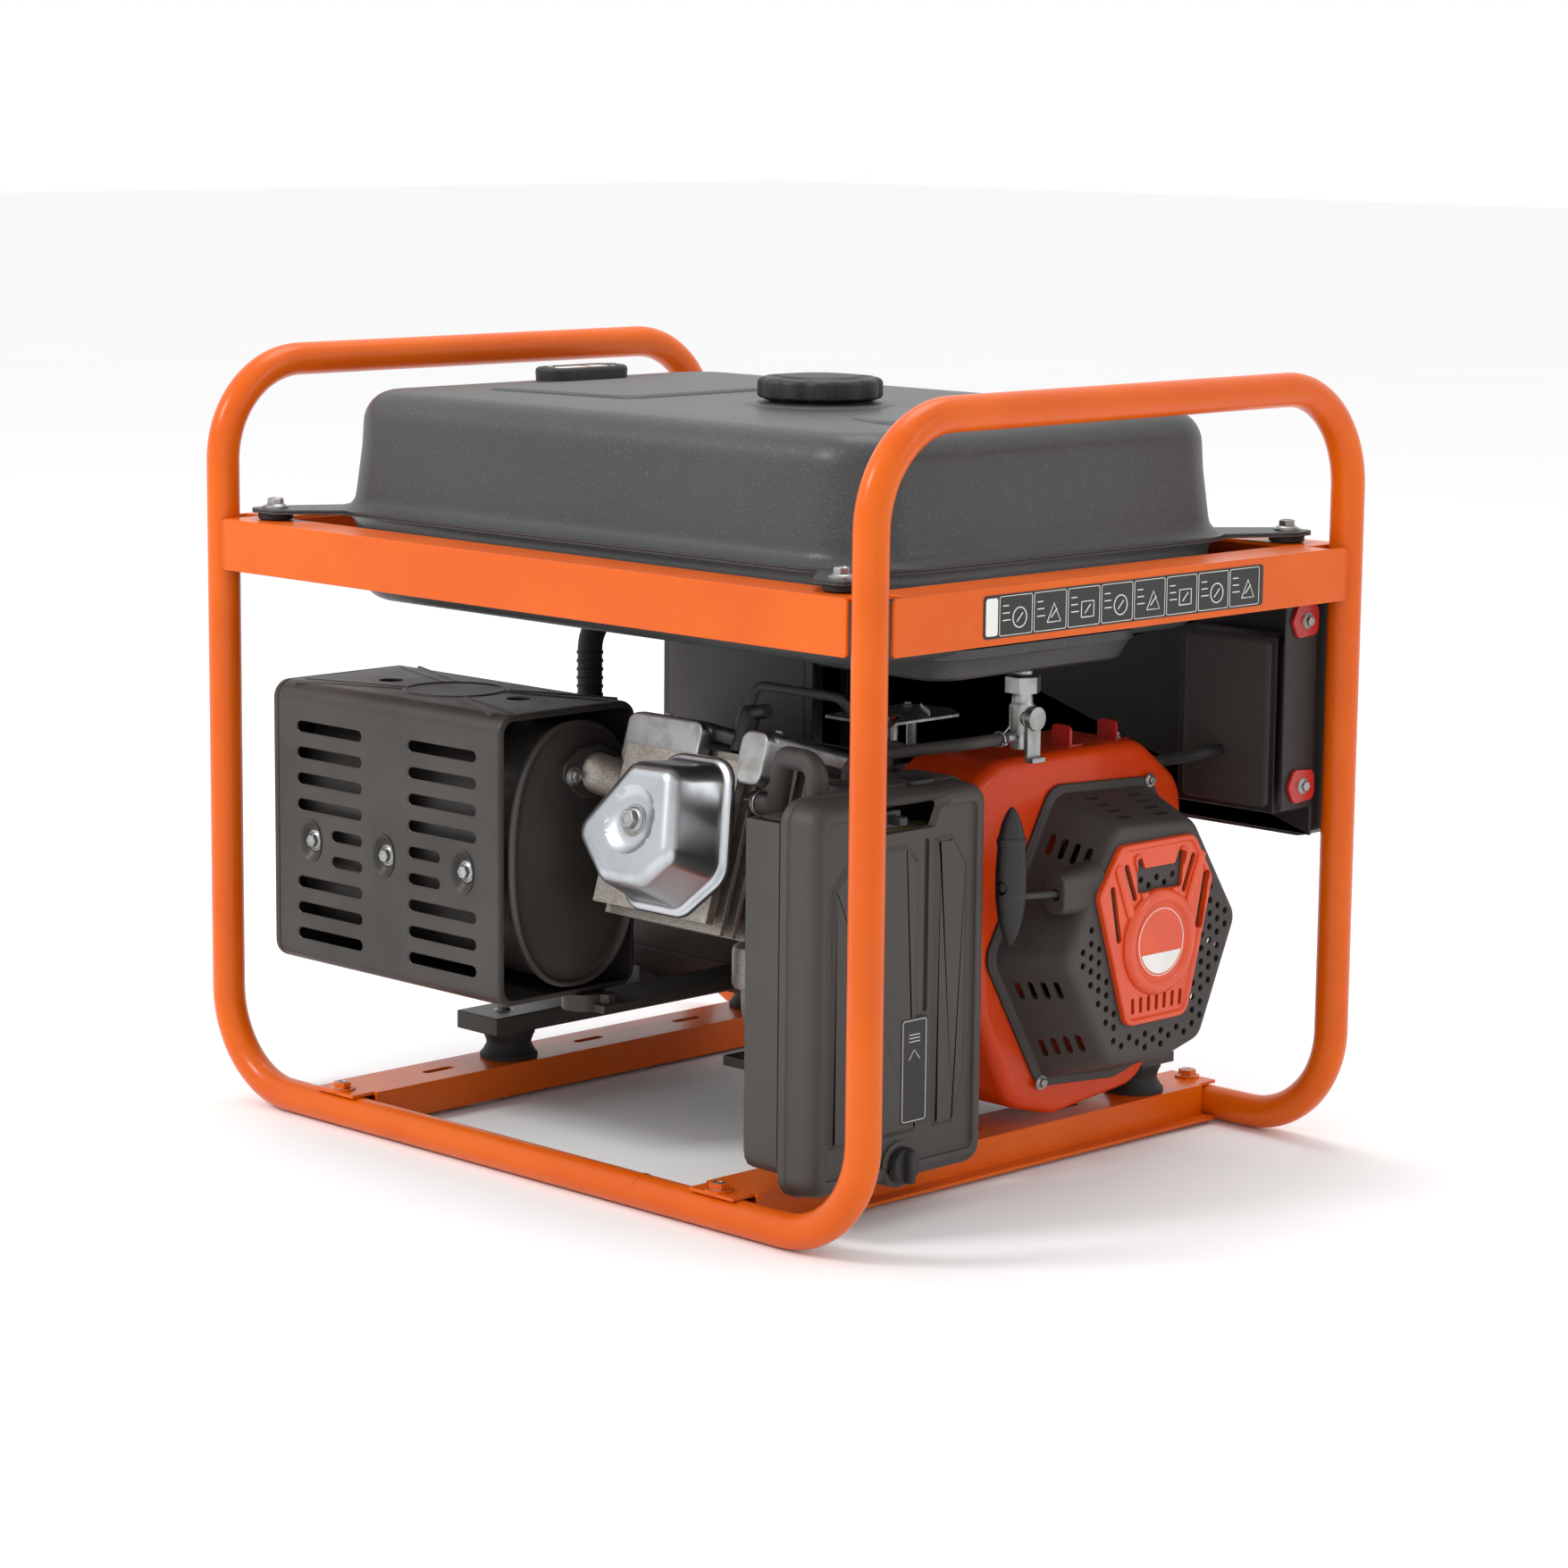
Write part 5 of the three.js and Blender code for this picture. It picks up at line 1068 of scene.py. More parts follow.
def crank_body(name, levels):
    """A body along X whose (place, outline) levels are drawn round the crankshaft."""
    return body_through(name, "x", [(x, around_crank(points)) for x, points in levels])


def bar(start, end, width):
    """A pill's outline from one point to another."""
    angle = math.atan2(end[1] - start[1], end[0] - start[0])
    middle = ((start[0] + end[0]) / 2, (start[1] + end[1]) / 2)
    return pill(middle, math.dist(start, end) + width, width, angle)


def make_starter():
    base, face = [corner[0] for corner in box_of("recoil_cover")]
    lip = rounded(scaled(STARTER_OUTLINE, 1.27), 20, 6)
    root = rounded(scaled(STARTER_OUTLINE, 1.19), 18, 6)
    crown = rounded(STARTER_OUTLINE, 16, 6)
    levels = [(base, lip), (base + 2.4, lip), (base + 3.2, inset(lip, 0.9)), (base + 3.4, inset(root, -2.6)),
              (base + 4.2, inset(root, -1.0)), (base + 6.5, inset(root, 0.4)),
              (face - 8.5, inset(crown, -1.5)), (face - 4.5, inset(crown, 0.1)),
              (face - 2.0, inset(crown, 1.8)), (face - 0.6, inset(crown, 4.2)), (face, inset(crown, 7.5))]
    cover = crank_body("starter_cover", levels)
    hollow_levels = [(base - 2, inset(root, 2.4)), (base + 6.5, inset(root, 3.2)),
                     (face - 8.5, inset(crown, 1.4)), (face - 4.6, inset(crown, 3.2)),
                     (face - 2.6, inset(crown, 7.5))]
    cutters = []
    for index, shares in {0: (0.26, 0.72), 1: (0.28, 0.7), 2: (0.3, 0.7), 4: (0.3, 0.72), 5: (0.24, 0.74),
                          7: (0.5,)}.items():
        start = Vector(STARTER_OUTLINE[index])
        end = Vector(STARTER_OUTLINE[(index + 1) % 8])
        tangent = (end - start).normalized()
        for share in shares:
            for row_x in (base + 13, base + 23, base + 33, base + 43):
                out = 1.19 + (1.0 - 1.19) * (row_x - base) / (face - base)
                at = start.lerp(end, share) * out
                slot = slab("slot", "z", pill((0, 0), 16.5, 5.4), (-12, 12))
                along = Vector((0, tangent.x, tangent.y))
                outwards = Vector((0.35, -tangent.y, tangent.x)).normalized()
                if outwards.y * at.x + outwards.z * at.y < 0:
                    outwards = Vector((0.35, tangent.y, -tangent.x)).normalized()
                across = outwards.cross(along)
                turn = Matrix((along, across, outwards)).transposed().to_4x4()
                slot.data.transform(Matrix.Translation((row_x, CRANK[1] + at.x, CRANK[2] + at.y)) @ turn)
                cutters.append(slot)
    allowed = inset(STARTER_OUTLINE, 10)
    kept_clear = inset(BADGE_OUTLINE, -4.5)
    for column in range(-12, 13):
        for row in range(-10, 11):
            point = (column * 9.0, row * 10.2 + (5.1 if column % 2 else 0) - 2)
            in_window = abs(point[0]) < 24 and 42 < point[1] < 50
            if in_window or (within(point, allowed) and not within(point, kept_clear) and point[1] < 36):
                outline = around_crank(shifted(circle(2.85, 6), *point))
                cutters.append(slab("hole", "x", outline, (face - 9, face + 4)))
    carve(cover, [crank_body("hollow", hollow_levels)])
    carve(cover, cutters)
    finish_piece(cover, GREY_PLASTIC, "recoil_cover", 32)
    lip_bolts = [((base + 3.8, CRANK[1] + u * 1.235, CRANK[2] + v * 1.235), TO_STARTER)
                 for u, v in (STARTER_OUTLINE[1], STARTER_OUTLINE[3], STARTER_OUTLINE[5])]
    bolts("starter_cover_bolts", lip_bolts, 0.62)

    make_badge(face)
    make_handle()
    dress("recoil_reel", BLACK_PLASTIC)
    dress("flywheel_fan", IRON, edge=0.6)
    make_shroud()


def make_badge(face):
    outline = rounded(BADGE_OUTLINE, 11, 6)
    back = face + 0.4
    tray = crank_body("badge_tray", [
        (back, outline), (back + 3.2, outline), (back + 4.4, inset(outline, 0.8)),
        (back + 4.9, inset(outline, 2.2)), (back + 4.7, inset(outline, 3.8)),
        (back + 3.6, inset(outline, 4.8)), (back + 2.8, inset(outline, 5.4)),
        (back + 2.8, inset(outline, 9.0))])
    for side in (-1, 1):
        for start, end, width in (((26, 66), (16, 34), 7.5), ((47, 60), (33, 26), 8.0)):
            shape = bar((side * start[0], start[1]), (side * end[0], end[1]), width)
            strut = [(back + 0.6, shape), (back + 3.9, shape), (back + 4.7, inset(shape, 0.9)),
                     (back + 5.0, inset(shape, 2.2))]
            carve(tray, [crank_body("strut", strut)], "UNION")
    window = [(-25, 40), (25, 40), (28, 66), (21.5, 67.5), (17, 58), (-17, 58), (-21.5, 67.5), (-28, 66)]
    openings = [("window", rounded(window, 1.6, 3))]
    for side in (-1, 1):
        for start, end, width in (((38, 61), (28, 37), 5.0), ((53, 46), (45, 8), 5.6)):
            openings.append(("badge_slot", bar((side * start[0], start[1]), (side * end[0], end[1]), width)))
    openings += [("small_slot", pill((-28 + step * 9.0 + 0.3, -44.5), 12.5, 3.6, math.radians(92 - step)))
                 for step in range(7)]
    carve(tray, [slab(name, "x", around_crank(shape), (back - 2, back + 9)) for name, shape in openings])
    finish_piece(tray, BADGE_ORANGE, "recoil_badge", 34)
    centre = (CRANK[1], CRANK[2] + 1)
    ring = turned("badge_ring", "x", centre, [
        (back + 0.5, 40.0), (back + 3.0, 40.3), (back + 5.2, 39.4), (back + 6.8, 37.2), (back + 7.5, 34.6),
        (back + 7.2, 32.0), (back + 6.0, 30.2), (back + 4.9, 29.4), (back + 4.8, 28.0)], 72)
    finish_piece(ring, BADGE_ORANGE, degrees=50)
    disc = turned("badge_disc", "x", centre, [(back + 4.0, 27.2), (back + 5.1, 27.2), (back + 5.4, 26.8)], 64)
    finish_piece(disc, BADGE_ORANGE)
    line = [(back + 5.4, y, z) for y, z in circle(25.2, 64, centre)]
    finish_piece(outline_line("badge_line", line, 0.35, 2), WHITE_PLASTIC, degrees=60)
    # the pale lower part of the blank disc
    arc = [(centre[0] + 23.6 * math.cos(turn), centre[1] + 23.6 * math.sin(turn))
           for turn in [math.radians(200 + 140 * step / 24) for step in range(25)]]
    pale = slab("badge_segment", "x", arc, (back + 5.2, back + 5.75))
    finish_piece(pale, WHITE_PLASTIC)


def make_handle():
    low, high = box_of("starter_handle")
    x, y, z = middle_of(low, high)
    half = (high[2] - low[2]) / 2

    # (share of the half length, half width)
    widths = [(-1.0, 1.2), (-0.95, 3.4), (-0.82, 6.6), (-0.6, 10.0), (-0.35, 12.0), (-0.1, 12.5),
              (0.15, 12.2), (0.4, 11.2), (0.44, 11.2), (0.46, 11.9), (0.55, 11.7), (0.57, 10.6), (0.75, 8.4),
              (0.9, 5.0), (0.97, 2.6), (1.0, 0.9)]
    grip = body_through("starter_grip", "z", [(z + half * share, squared_oval((x, y), wide, wide, 1.55, 28))
                                              for share, wide in widths])
    round_edges(grip, 0.7, 2, 28)
    hole = turned("knot_hole", "y", (x, z - 7), [(y - 15, 5.6), (y - 9, 5.6), (y - 4, 4.2)], 28)
    carve(grip, [hole])
    finish_piece(grip, BLACK_PLASTIC, "starter_handle", 40, "starter_handle")
    nothing_selected()
    bpy.ops.mesh.primitive_uv_sphere_add(segments=20, ring_count=12, radius=3.8, location=(x, y - 7.6, z - 7))
    knot = settle(bpy.context.object)
    knot.name = "rope_knot"
    edit(knot)
    bpy.ops.mesh.select_all(action="SELECT")
    bpy.ops.transform.resize(value=(1, 0.7, 1.1), center_override=(x, y - 7.6, z - 7))
    bpy.ops.object.mode_set(mode="OBJECT")
    finish_piece(knot, HOSE, None, 60, "starter_handle")

    rope_box = box_of("starter_rope")
    rope_x, _, rope_z = middle_of(*rope_box)
    mouth = rope_box[1][1]
    from_guide = Vector((rope_x, mouth, rope_z))
    to_grip = Vector((rope_x, y + 9, rope_z + 4))
    points = [from_guide.lerp(to_grip, step / 60) for step in range(61)]
    rope = tube("starter_rope_braid", points, 2.5, resolution=4)
    finish_piece(rope, HOSE, "starter_rope", 60, None)
    tuple(c * MM for c in (rope_x, mouth - 12, rope_z))
    tuple(c * MM for c in (rope_x, y + 14, rope_z))
    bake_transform(rope)
    guide = rounded(rectangle(rope_x - 13, rope_x + 9, rope_z - 15, rope_z + 15), 8, 5)
    boss = body_through("rope_guide", "y", [
        (mouth + 26, inset(guide, -6)), (mouth + 12, inset(guide, -2)), (mouth - 9, guide),
        (mouth - 11.4, inset(guide, 0.8)), (mouth - 12.4, inset(guide, 2.6))])
    eye = turned("eye", "y", (rope_x, rope_z), [(mouth - 16, 5.4), (mouth - 10, 3.8), (mouth + 8, 3.6)], 24)
    carve(boss, [eye])
    finish_piece(boss, GREY_PLASTIC, degrees=40)


def make_shroud():
    low, high = box_of("blower_shroud")
    source = [(-145, 118), (-112, 140), (50, 140), (98, 105), (112, -5), (60, -126), (-40, -136), (-92, -122),
              (-128, -50)]
    outline = rounded(source, 36, 8)
    levels = [(low[0], outline)]
    levels += [(high[0] - 10 * drop, inset(outline, 10 * back)) for drop, back in quarter_turn(5)]
    shell = crank_body("shroud", levels)
    cavity = around_crank(inset(outline, 2.0))
    carve(shell, [body_through("cavity", "x", [(low[0] - 5, cavity), (high[0] - 9, cavity),
                                               (high[0] - 2.5, around_crank(inset(outline, 9)))])])
    carve(shell, [slab("mouth", "x", around_crank(circle(80, 64)), (high[0] - 8, high[0] + 5))])
    # the shroud takes the redder, darker copy of the frame orange: painted shade
    finish_piece(shell, SHADED_ORANGE, "blower_shroud", 40)
    # two lugs on top
    tabs = []
    for y, z in ((CRANK[1] - 20, CRANK[2] + 140), (CRANK[1] + 32, CRANK[2] + 139)):
        outline = rounded(rectangle(-9, 9, 0, 17), 4, 4)
        tab = slab("tab", "y", shifted(outline, high[0] - 20, z - 1), (y - 1.2, y + 1.2))
        sole = rounded(rectangle(high[0] - 29, high[0] - 11, y - 1.2, y + 16), 3, 4)
        foot = slab("foot", "z", sole, (z - 1.0, z + 1.4))
        tabs.append(carve(tab, [foot], "UNION"))
    finish_piece(merge(tabs, "shroud_tabs"), RED_PLASTIC)
    bolts("shroud_bolts", [((high[0] - 20, CRANK[1] - 18.6, CRANK[2] + 150), TO_PANEL),
                           ((high[0] - 20, CRANK[1] + 42, CRANK[2] + 141), UP)], 0.55)


# ---------------------------------------------------------------- air cleaner
def make_air_cleaner():
    case = dressed_copy("air_cleaner_case", "air_cleaner_case_rounded", 3.2, 4, 40)
    finish_piece(case, GREY_PLASTIC, "air_cleaner_case", 45)
    dress("air_filter", PAPER)
    (x0, y0, z0), (x1, y1, z1) = box_of("air_cleaner_cover")

    def ring(amount):
        return rounded(rectangle(y0 + amount, y1 - amount, z0 + amount, z1 - amount), max(18 - amount, 5), 9)

    profile = [(0.1, 1.0), (0.9, 0.0), (7.2, 0.0), (8.0, 0.9), (9.0, 1.5), (20, 2.4), (25.5, 3.4),
               (28.6, 5.2), (30.6, 7.6), (32, 10.6), (32, 13.4), (31.3, 14.6), (29.1, 15.4), (28.6, 16.8)]
    cover = body_through("air_cleaner_lid", "x", [(x0 + rise, ring(amount)) for rise, amount in profile])
    x_face = x1 - 3.4
    for points in ([(-228, 66), (-140, 66), (-140, 262), (-153, 274), (-207, 274), (-228, 250)],
                   [(-124, 66), (-102, 66), (-90, 104), (-90, 252), (-106, 276), (-124, 276)]):
        shape = rounded(points, 2.0, 3)
        plateau = body_through("raised", "x", [(x1 - 8, shape), (x_face, shape), (x_face + 1.9, inset(shape,
                                                                                                      3.2)),
                                               (x_face + 2.2, inset(shape, 4.2))])
        carve(cover, [plateau], "UNION")
    hollow = [(-2, 3.5), (8, 4.5), (24, 6.5), (25.0, 12)]
    carve(cover, [body_through("hollow", "x", [(x0 + rise, ring(amount)) for rise, amount in hollow])])
    choke_box = box_of("choke_lever")
    choke_start, choke_z = choke_box[0][1] + 5.5, middle_of(*choke_box)[2]
    cutters = [
        # the window of the choke lever: a sloping well, and the slot it slides in
        body_through("well", "x", [(x1 + 2, rounded([(-208, 281), (-118, 281), (-106, 306), (-214, 306)], 3,
                                                    4)),
                                   (x1 - 7.5, rounded([(-198, 284), (-128, 284), (-120, 301), (-206, 301)], 3,
                                                      4))]),
        slab("choke_slot", "x", rectangle(choke_start, choke_start + 28.5, choke_z - 3.6, choke_z + 3.6),
             (x1 - 30, x1 + 5)),
        body_through("groove", "x", [(x1 + 2, rounded(rectangle(-135.5, -128.5, 150, 277), 3.2, 4)),
                                     (x_face - 2.4, rounded(rectangle(-134, -130, 152, 275), 1.9, 4))]),
    ]
    for cutter in cutters:
        carve(cover, [cutter])
    finish_piece(cover, GREY_PLASTIC, "air_cleaner_cover", 32)
    label = slab("air_cleaner_label", "x", rounded(rectangle(-158, -131, 73, 149), 2.0, 4),
                 (x_face + 2.0, x_face + 2.5), 0.1)
    finish_piece(label, BLACK_PLASTIC)
    line_x = x_face + 2.5
    border = [(line_x, y, z) for y, z in rounded(rectangle(-156.4, -132.6, 74.6, 147.4), 2, 3)]
    marks = [outline_line("label_line", border, 0.3)]
    for z in (132, 134.5, 137):
        marks.append(tube("label_tick", [(line_x, -150, z), (line_x, -139, z)], 0.28, resolution=1))
    marks.append(tube("label_arrow", [(line_x, -150, 119), (line_x, -144.5, 126), (line_x, -139, 119)],
                      0.3, resolution=1))
    finish_piece(merge(marks, "air_cleaner_label_marks"), WHITE_PLASTIC, degrees=60)

    dress("choke_lever", BLACK_PLASTIC, edge=0.9)
    knob_box = box_of("air_cleaner_knob")
    centre = middle_of(*knob_box)[1:]
    base = knob_box[0][0]
    knob = turned("air_cleaner_knob_turned", "x", centre, [
        (base, 12.0), (base + 0.8, 13.3), (base + 5.2, 13.4), (base + 6.8, 12.4), (base + 7.2, 10.8),
        (base + 7.2, 6)], 48)
    grip_outline = rounded(rectangle(centre[0] - 3.6, centre[0] + 3.6, centre[1] - 12.8, centre[1] + 12.8), 3,
                           4)
    grip = body_through("grip", "x", [(base + 4, grip_outline), (base + 10.5, inset(grip_outline, 0.5)),
                                      (base + 12.3, inset(grip_outline, 1.3)),
                                      (base + 12.9, inset(grip_outline, 2.3))])
    carve(knob, [grip], "UNION")
    finish_piece(knob, BLACK_PLASTIC, "air_cleaner_knob", 40, "air_cleaner_knob")
    seat = [(x0 + 6, 17.5), (x1 - 1.6, 16.8), (x1 - 0.4, 15.6), (x1, 14)]
    finish_piece(turned("knob_seat", "x", centre, seat, 40), GREY_PLASTIC, degrees=40)
    clip = rounded(rectangle(x0 - 5, x0 + 14, -132, -108), 3, 4)
    finish_piece(slab("case_clip", "z", clip, (z1 - 1.0, z1 + 2.2), 0.8), BLACK_PLASTIC)


# ---------------------------------------------------------------- engine
TILT = Matrix.Translation((CRANK[0] + 70, CRANK[1], CRANK[2])) @ Matrix.Rotation(math.radians(-17), 4, "X")
COVER_OUTLINE = [(-6, 46), (43, 47), (58, -20), (30, -47), (-13, -47), (-51, -12)]


def tilted(piece):
    piece.data.transform(TILT)
    return piece


def make_engine():
    lip = rounded(scaled(COVER_OUTLINE, 1.26), 20, 8)
    skirt = rounded(scaled(COVER_OUTLINE, 1.15), 17, 8)
    crown = rounded(COVER_OUTLINE, 15, 8)
    seat = -292.0
    cover = tilted(body_through("valve_cover_shell", "y", [(seat + step, points) for step, points in [
        (-0.2, lip), (-2.2, lip), (-3.2, inset(lip, 0.9)), (-3.5, inset(lip, 2.4)),
        (-3.8, inset(skirt, -1.2)), (-5.2, inset(skirt, 0.4)), (-9, inset(skirt, 1.2)),
        (-30, inset(crown, -1.2)), (-38, inset(crown, 0.6)), (-42, inset(crown, 2.6)),
        (-44.6, inset(crown, 5.6)), (-46, inset(crown, 9.5)), (-46, inset(crown, 13))]]))
    dish = turned("dish", "y", (8, 2), [(seat - 48, 27), (seat - 46, 25.5), (seat - 43.4, 21),
                                        (seat - 41.6, 14)], 48)
    carve(cover, [tilted(dish)])
    finish_piece(cover, CHROME, "valve_cover", 40)
    gasket = tilted(slab("valve_cover_gasket", "y", inset(lip, -0.8), (seat - 0.1, seat + 1.4)))
    finish_piece(gasket, RUBBER)
    centre = TILT @ Vector((8, seat - 41.2, 2))
    bolts("valve_cover_bolt", [(tuple(centre), tuple(TILT.to_3x3() @ Vector(TO_FRONT)))], 1.35)

    # a pressed sheet over the top of the cylinder, in two humps with the plug between them
    halves = []
    for low, high in ((-66, 14), (54, 82)):
        plan = rounded([(low, -291), (high, -291), (high, -98), (low, -98)], 12, 6)
        halves.append(body_through("hump", "z", [(72.5, plan), (79, plan), (82.2, inset(plan, 1.0)),
                                                 (84.4, inset(plan, 3.4)), (85.2, inset(plan, 7.0))]))
        front = rounded(rectangle(low, high, 44, 84), 9, 5)
        halves.append(body_through("hump_front", "y", [(-291.5, inset(front, 3.0)), (-290.6, inset(front,
                                                                                                   0.8)),
                                                       (-288.5, front), (-280, front)]))
    guide = tilted(merge(halves, "air_guide_sheet"))
    finish_piece(guide, ZINC, "air_guide", 40)
    seats = []
    for x, y in ((-48, -268), (-48, -180), (68, -268), (68, -150)):
        seats.append((tuple(TILT @ Vector((x, y, 85.0))), tuple(TILT.to_3x3() @ Vector(UP))))
    bolts("air_guide_bolts", seats, 0.5)

    cap = tilted(turned("plug_cap", "z", (34, -268), [
        (66.5, 6.2), (68, 8.2), (72, 8.6), (74, 7.6), (84, 7.4), (88, 8.4), (97, 8.2), (101, 6.6), (102, 4)],
                        36))
    elbow_path = [TILT @ Vector(point) for point in ((34, -268, 88), (34, -268, 97), (52, -268, 101))]
    elbow = tube("plug_elbow", elbow_path, 5.4, 7, 6, 6)
    finish_piece(merge([cap, elbow], "plug_cap"), BLACK_PLASTIC, "spark_plug_cap", 45)

    dress("crankcase", ALUMINIUM, edge=2.2, segments=3, limit=28)
    dress("cylinder_head", ALUMINIUM, edge=0.5, segments=2, limit=40)
    dress("piston", ALUMINIUM, edge=0.5)
    dress("carburettor", ALUMINIUM, edge=1.2, segments=3)
    case_x = box_of("crankcase")[1][0]
    ribs = []
    for u, v, wide in ((-118, -40, 5), (-118, 4, 5), (-60, 92, 5), (30, 92, 5)):
        point = (CRANK[1] + u, CRANK[2] + v)
        ribs.append(slab("case_rib", "x", rounded(rectangle(point[0] - wide, point[0] + wide, point[1] - wide,
                                                           point[1] + wide), 2, 3), (20, case_x - 8), 1.5))
    finish_piece(merge(ribs, "crankcase_ribs"), ALUMINIUM)
    bolts("crankcase_bolts", [((case_x - 1, CRANK[1] + u, CRANK[2] + v), TO_STARTER) for u, v in
                              ((-108, -96), (-116, 20), (70, -96), (80, 30), (50, 78), (-58, 78))], 0.62)
    # the breather pot, and the throttle's plate, stays, rod and spring over the head
    pot = turned("breather_pot", "z", (36, -54), [(118, 15), (121, 16.5), (146, 16.5), (150, 15.4), (153,
                                                                                                     11.5),
                                                  (154, 5)], 44)
    finish_piece(pot, ALUMINIUM)
    bracket = slab("throttle_plate", "z", rounded([(112, -60), (176, -60), (176, 22), (150, 38), (112, 30)],
                                                  6, 4),
                   (334.5, 336.6), 0.5)
    finish_piece(bracket, ZINC)
    stays = [tube("plate_stay", [(124, 24, 330), (124, 24, 300)], 4, resolution=5),
             tube("plate_stay", [(165, -40, 334), (165, -40, 322)], 4, resolution=5),
             tube("throttle_rod", [(152, -34, 338.5), (166, -30, 338.5), (196, -96, 330), (214, -110, 318)],
                  1.3, 5, 5, 4),
             tube("throttle_spring", [(150 + step * 0.42, 6 - step * 0.32, 341 + 2.1 * math.sin(step * 1.25))
                                      for step in range(70)], 0.7, resolution=2)]
    finish_piece(merge(stays, "throttle_rods"), ZINC, degrees=50)
    lever = slab("throttle_lever", "z", rounded([(124, -44), (160, -52), (168, -38), (140, -22), (124, -26)],
                                                5, 4),
                 (337.2, 339.0), 0.3)
    finish_piece(lever, RED_PLASTIC)
    bolts("throttle_plate_bolts", [((122, 22, 336.6), UP), ((166, -48, 336.6), UP)], 0.5)
    dress("governor_arm", ZINC, edge=0.8)


# ---------------------------------------------------------------- hoses and leads
def wire_clip(at, direction, radius):
    """A sprung wire clip round a hose: two turns and two ears."""
    along = Vector(direction).normalized()
    side = along.cross(Vector((0.2, 0.3, 1)) if abs(along.z) < 0.8 else Vector((0, 1, 0.1))).normalized()
    other = along.cross(side)
    points = []
    for step in range(41):
        turn = TAU * 1.8 * step / 40
        points.append(tuple(Vector(at) + along * (4.0 * step / 40 - 2.0)
                            + (side * math.cos(turn) + other * math.sin(turn)) * radius))
    for end, order in ((0, 1), (-1, -1)):
        ear = tuple(Vector(points[end]) * 2 - Vector(at) - along * (0.5 * order))
        reach = tuple(Vector(points[end]).lerp(Vector(ear), 5.5 / radius))
        if end == 0:
            points.insert(0, reach)
        else:
            points.append(reach)
    return tube("wire_clip", points, 0.8, resolution=3)


def make_fuel_lines():
    valve = (258, -20.3, 331.7)
    fuel = [valve, (258, -54.3, valve[2]), (194, -118, valve[2] - 12), (194, -118, 256.3)]
    finish_piece(tube("fuel_line", fuel, 4.5, 16, 8, 6), HOSE, "fuel_hose", 60)
    finish_piece(merge([wire_clip((258, -26, valve[2]), TO_PANEL, 5.3), wire_clip((194, -118, 262), UP, 5.3)],
                       "fuel_line_clips"), ZINC, degrees=60)
    breather = [(131.3, -150, 284), (155.3, -150, 284), (205, -192, 330.3), (241, -196, 330.3),
                (241, -196, 296.3)]
    finish_piece(tube("breather_line", breather, 8, 14, 8, 8), GREY_PLASTIC, "breather_hose", 60)
    finish_piece(merge([wire_clip((139, -150, 284), TO_STARTER, 8.8), wire_clip((241, -196, 306), UP, 8.8)],
                       "breather_clips"), ZINC, degrees=60)
    lead = [(104, -126.3, 348.5), (104, -121.6, 363.8), (163.5, -96.3, 358.5), (163.5, -50, 322),
            (163.5, 40, 292), (163.5, 40, 264)]
    finish_piece(tube("plug_lead", lead, 3.5, 8, 6, 5), HOSE, "ignition_lead", 60)
    conduit = [(-266, 54, 271), (-266, 54, 367), (-266, 196.7, 367)]
    finish_piece(tube("alternator_lead", conduit, 10.2, 30, 10, 8), RUBBER, "alternator_conduit", 60)
    ribs = []
    for axis, centre, span in (("z", (-266, 54), range(284, 334, 7)), ("y", (-266, 367), range(92, 190, 7))):
        for level in span:
            profile = [(level, 10), (level + 0.6, 11), (level + 2.6, 11), (level + 3.2, 10)]
            ribs.append(turned("conduit_rib", axis, centre, profile, 32))
    finish_piece(merge(ribs, "alternator_lead_ribs"), RUBBER, degrees=40)
    body = turned("valve_bonnet", "z", (258, -2), [
        (321.7, 6.5), (323, 8.0), (335, 8.2), (337, 9.6), (354, 9.6), (356, 8), (362, 7.4), (366, 9.4),
        (376, 9.4), (377.5, 7.4), (379.7, 7.0)], 36)
    outlet = turned("outlet", "y", (258, 331.7), [(-20, 3.8), (-14, 4.6), (-12, 4.0), (-6, 4.0)], 24)
    face = turned("valve_face", "x", (-2, 345.7), [(260, 8.4), (266.2, 8.4), (267.0, 7.6)], 32)
    finish_piece(merge([body, outlet, face], "fuel_valve"), ZINC, "fuel_valve_body", 40)
    nut = slab("valve_nut", "z", circle(13.5, 6, (258, -2)), (364, 376), 0.8)
    finish_piece(nut, ZINC, degrees=30)
    dress("fuel_valve_lever", ZINC, edge=1.0, segments=3)


# ---------------------------------------------------------------- alternator
def make_alternator():
    low, high = box_of("alternator_housing")
    radius = (high[2] - low[2]) / 2
    dress("alternator_housing", HEAT_BLACK, edge=1.0)
    dress("alternator_end_cover", SHEET_BLACK, edge=1.8, segments=3)
    dress("alternator_rotor", IRON, edge=0.6)
    fins = []
    for step in range(20):
        turn = TAU * step / 20
        across = Vector((0, math.cos(turn), math.sin(turn)))
        if across.z < -0.75:
            continue
        middle = Vector((0, CRANK[1], CRANK[2])) + across * (radius - 1)
        fin = slab("fin", "x", rounded(rectangle(-4.5, 2.6, -1.6, 1.6), 1.0, 2), (low[0] + 16, high[0] - 42))
        fin.data.transform(Matrix.Translation(middle) @ Matrix.Rotation(turn, 4, "X"))
        fins.append(fin)
    finish_piece(merge(fins, "alternator_fins"), HEAT_BLACK)
    end_x = box_of("alternator_end_cover")[0][0] + 1.0
    seats = []
    for turn in (math.radians(45 + 90 * step) for step in range(4)):
        y, z = CRANK[1] + (radius - 14) * math.cos(turn), CRANK[2] + (radius - 14) * math.sin(turn)
        seats.append(((end_x, y, z), TO_ALTERNATOR))
    bolts("alternator_end_bolts", seats, 0.7)


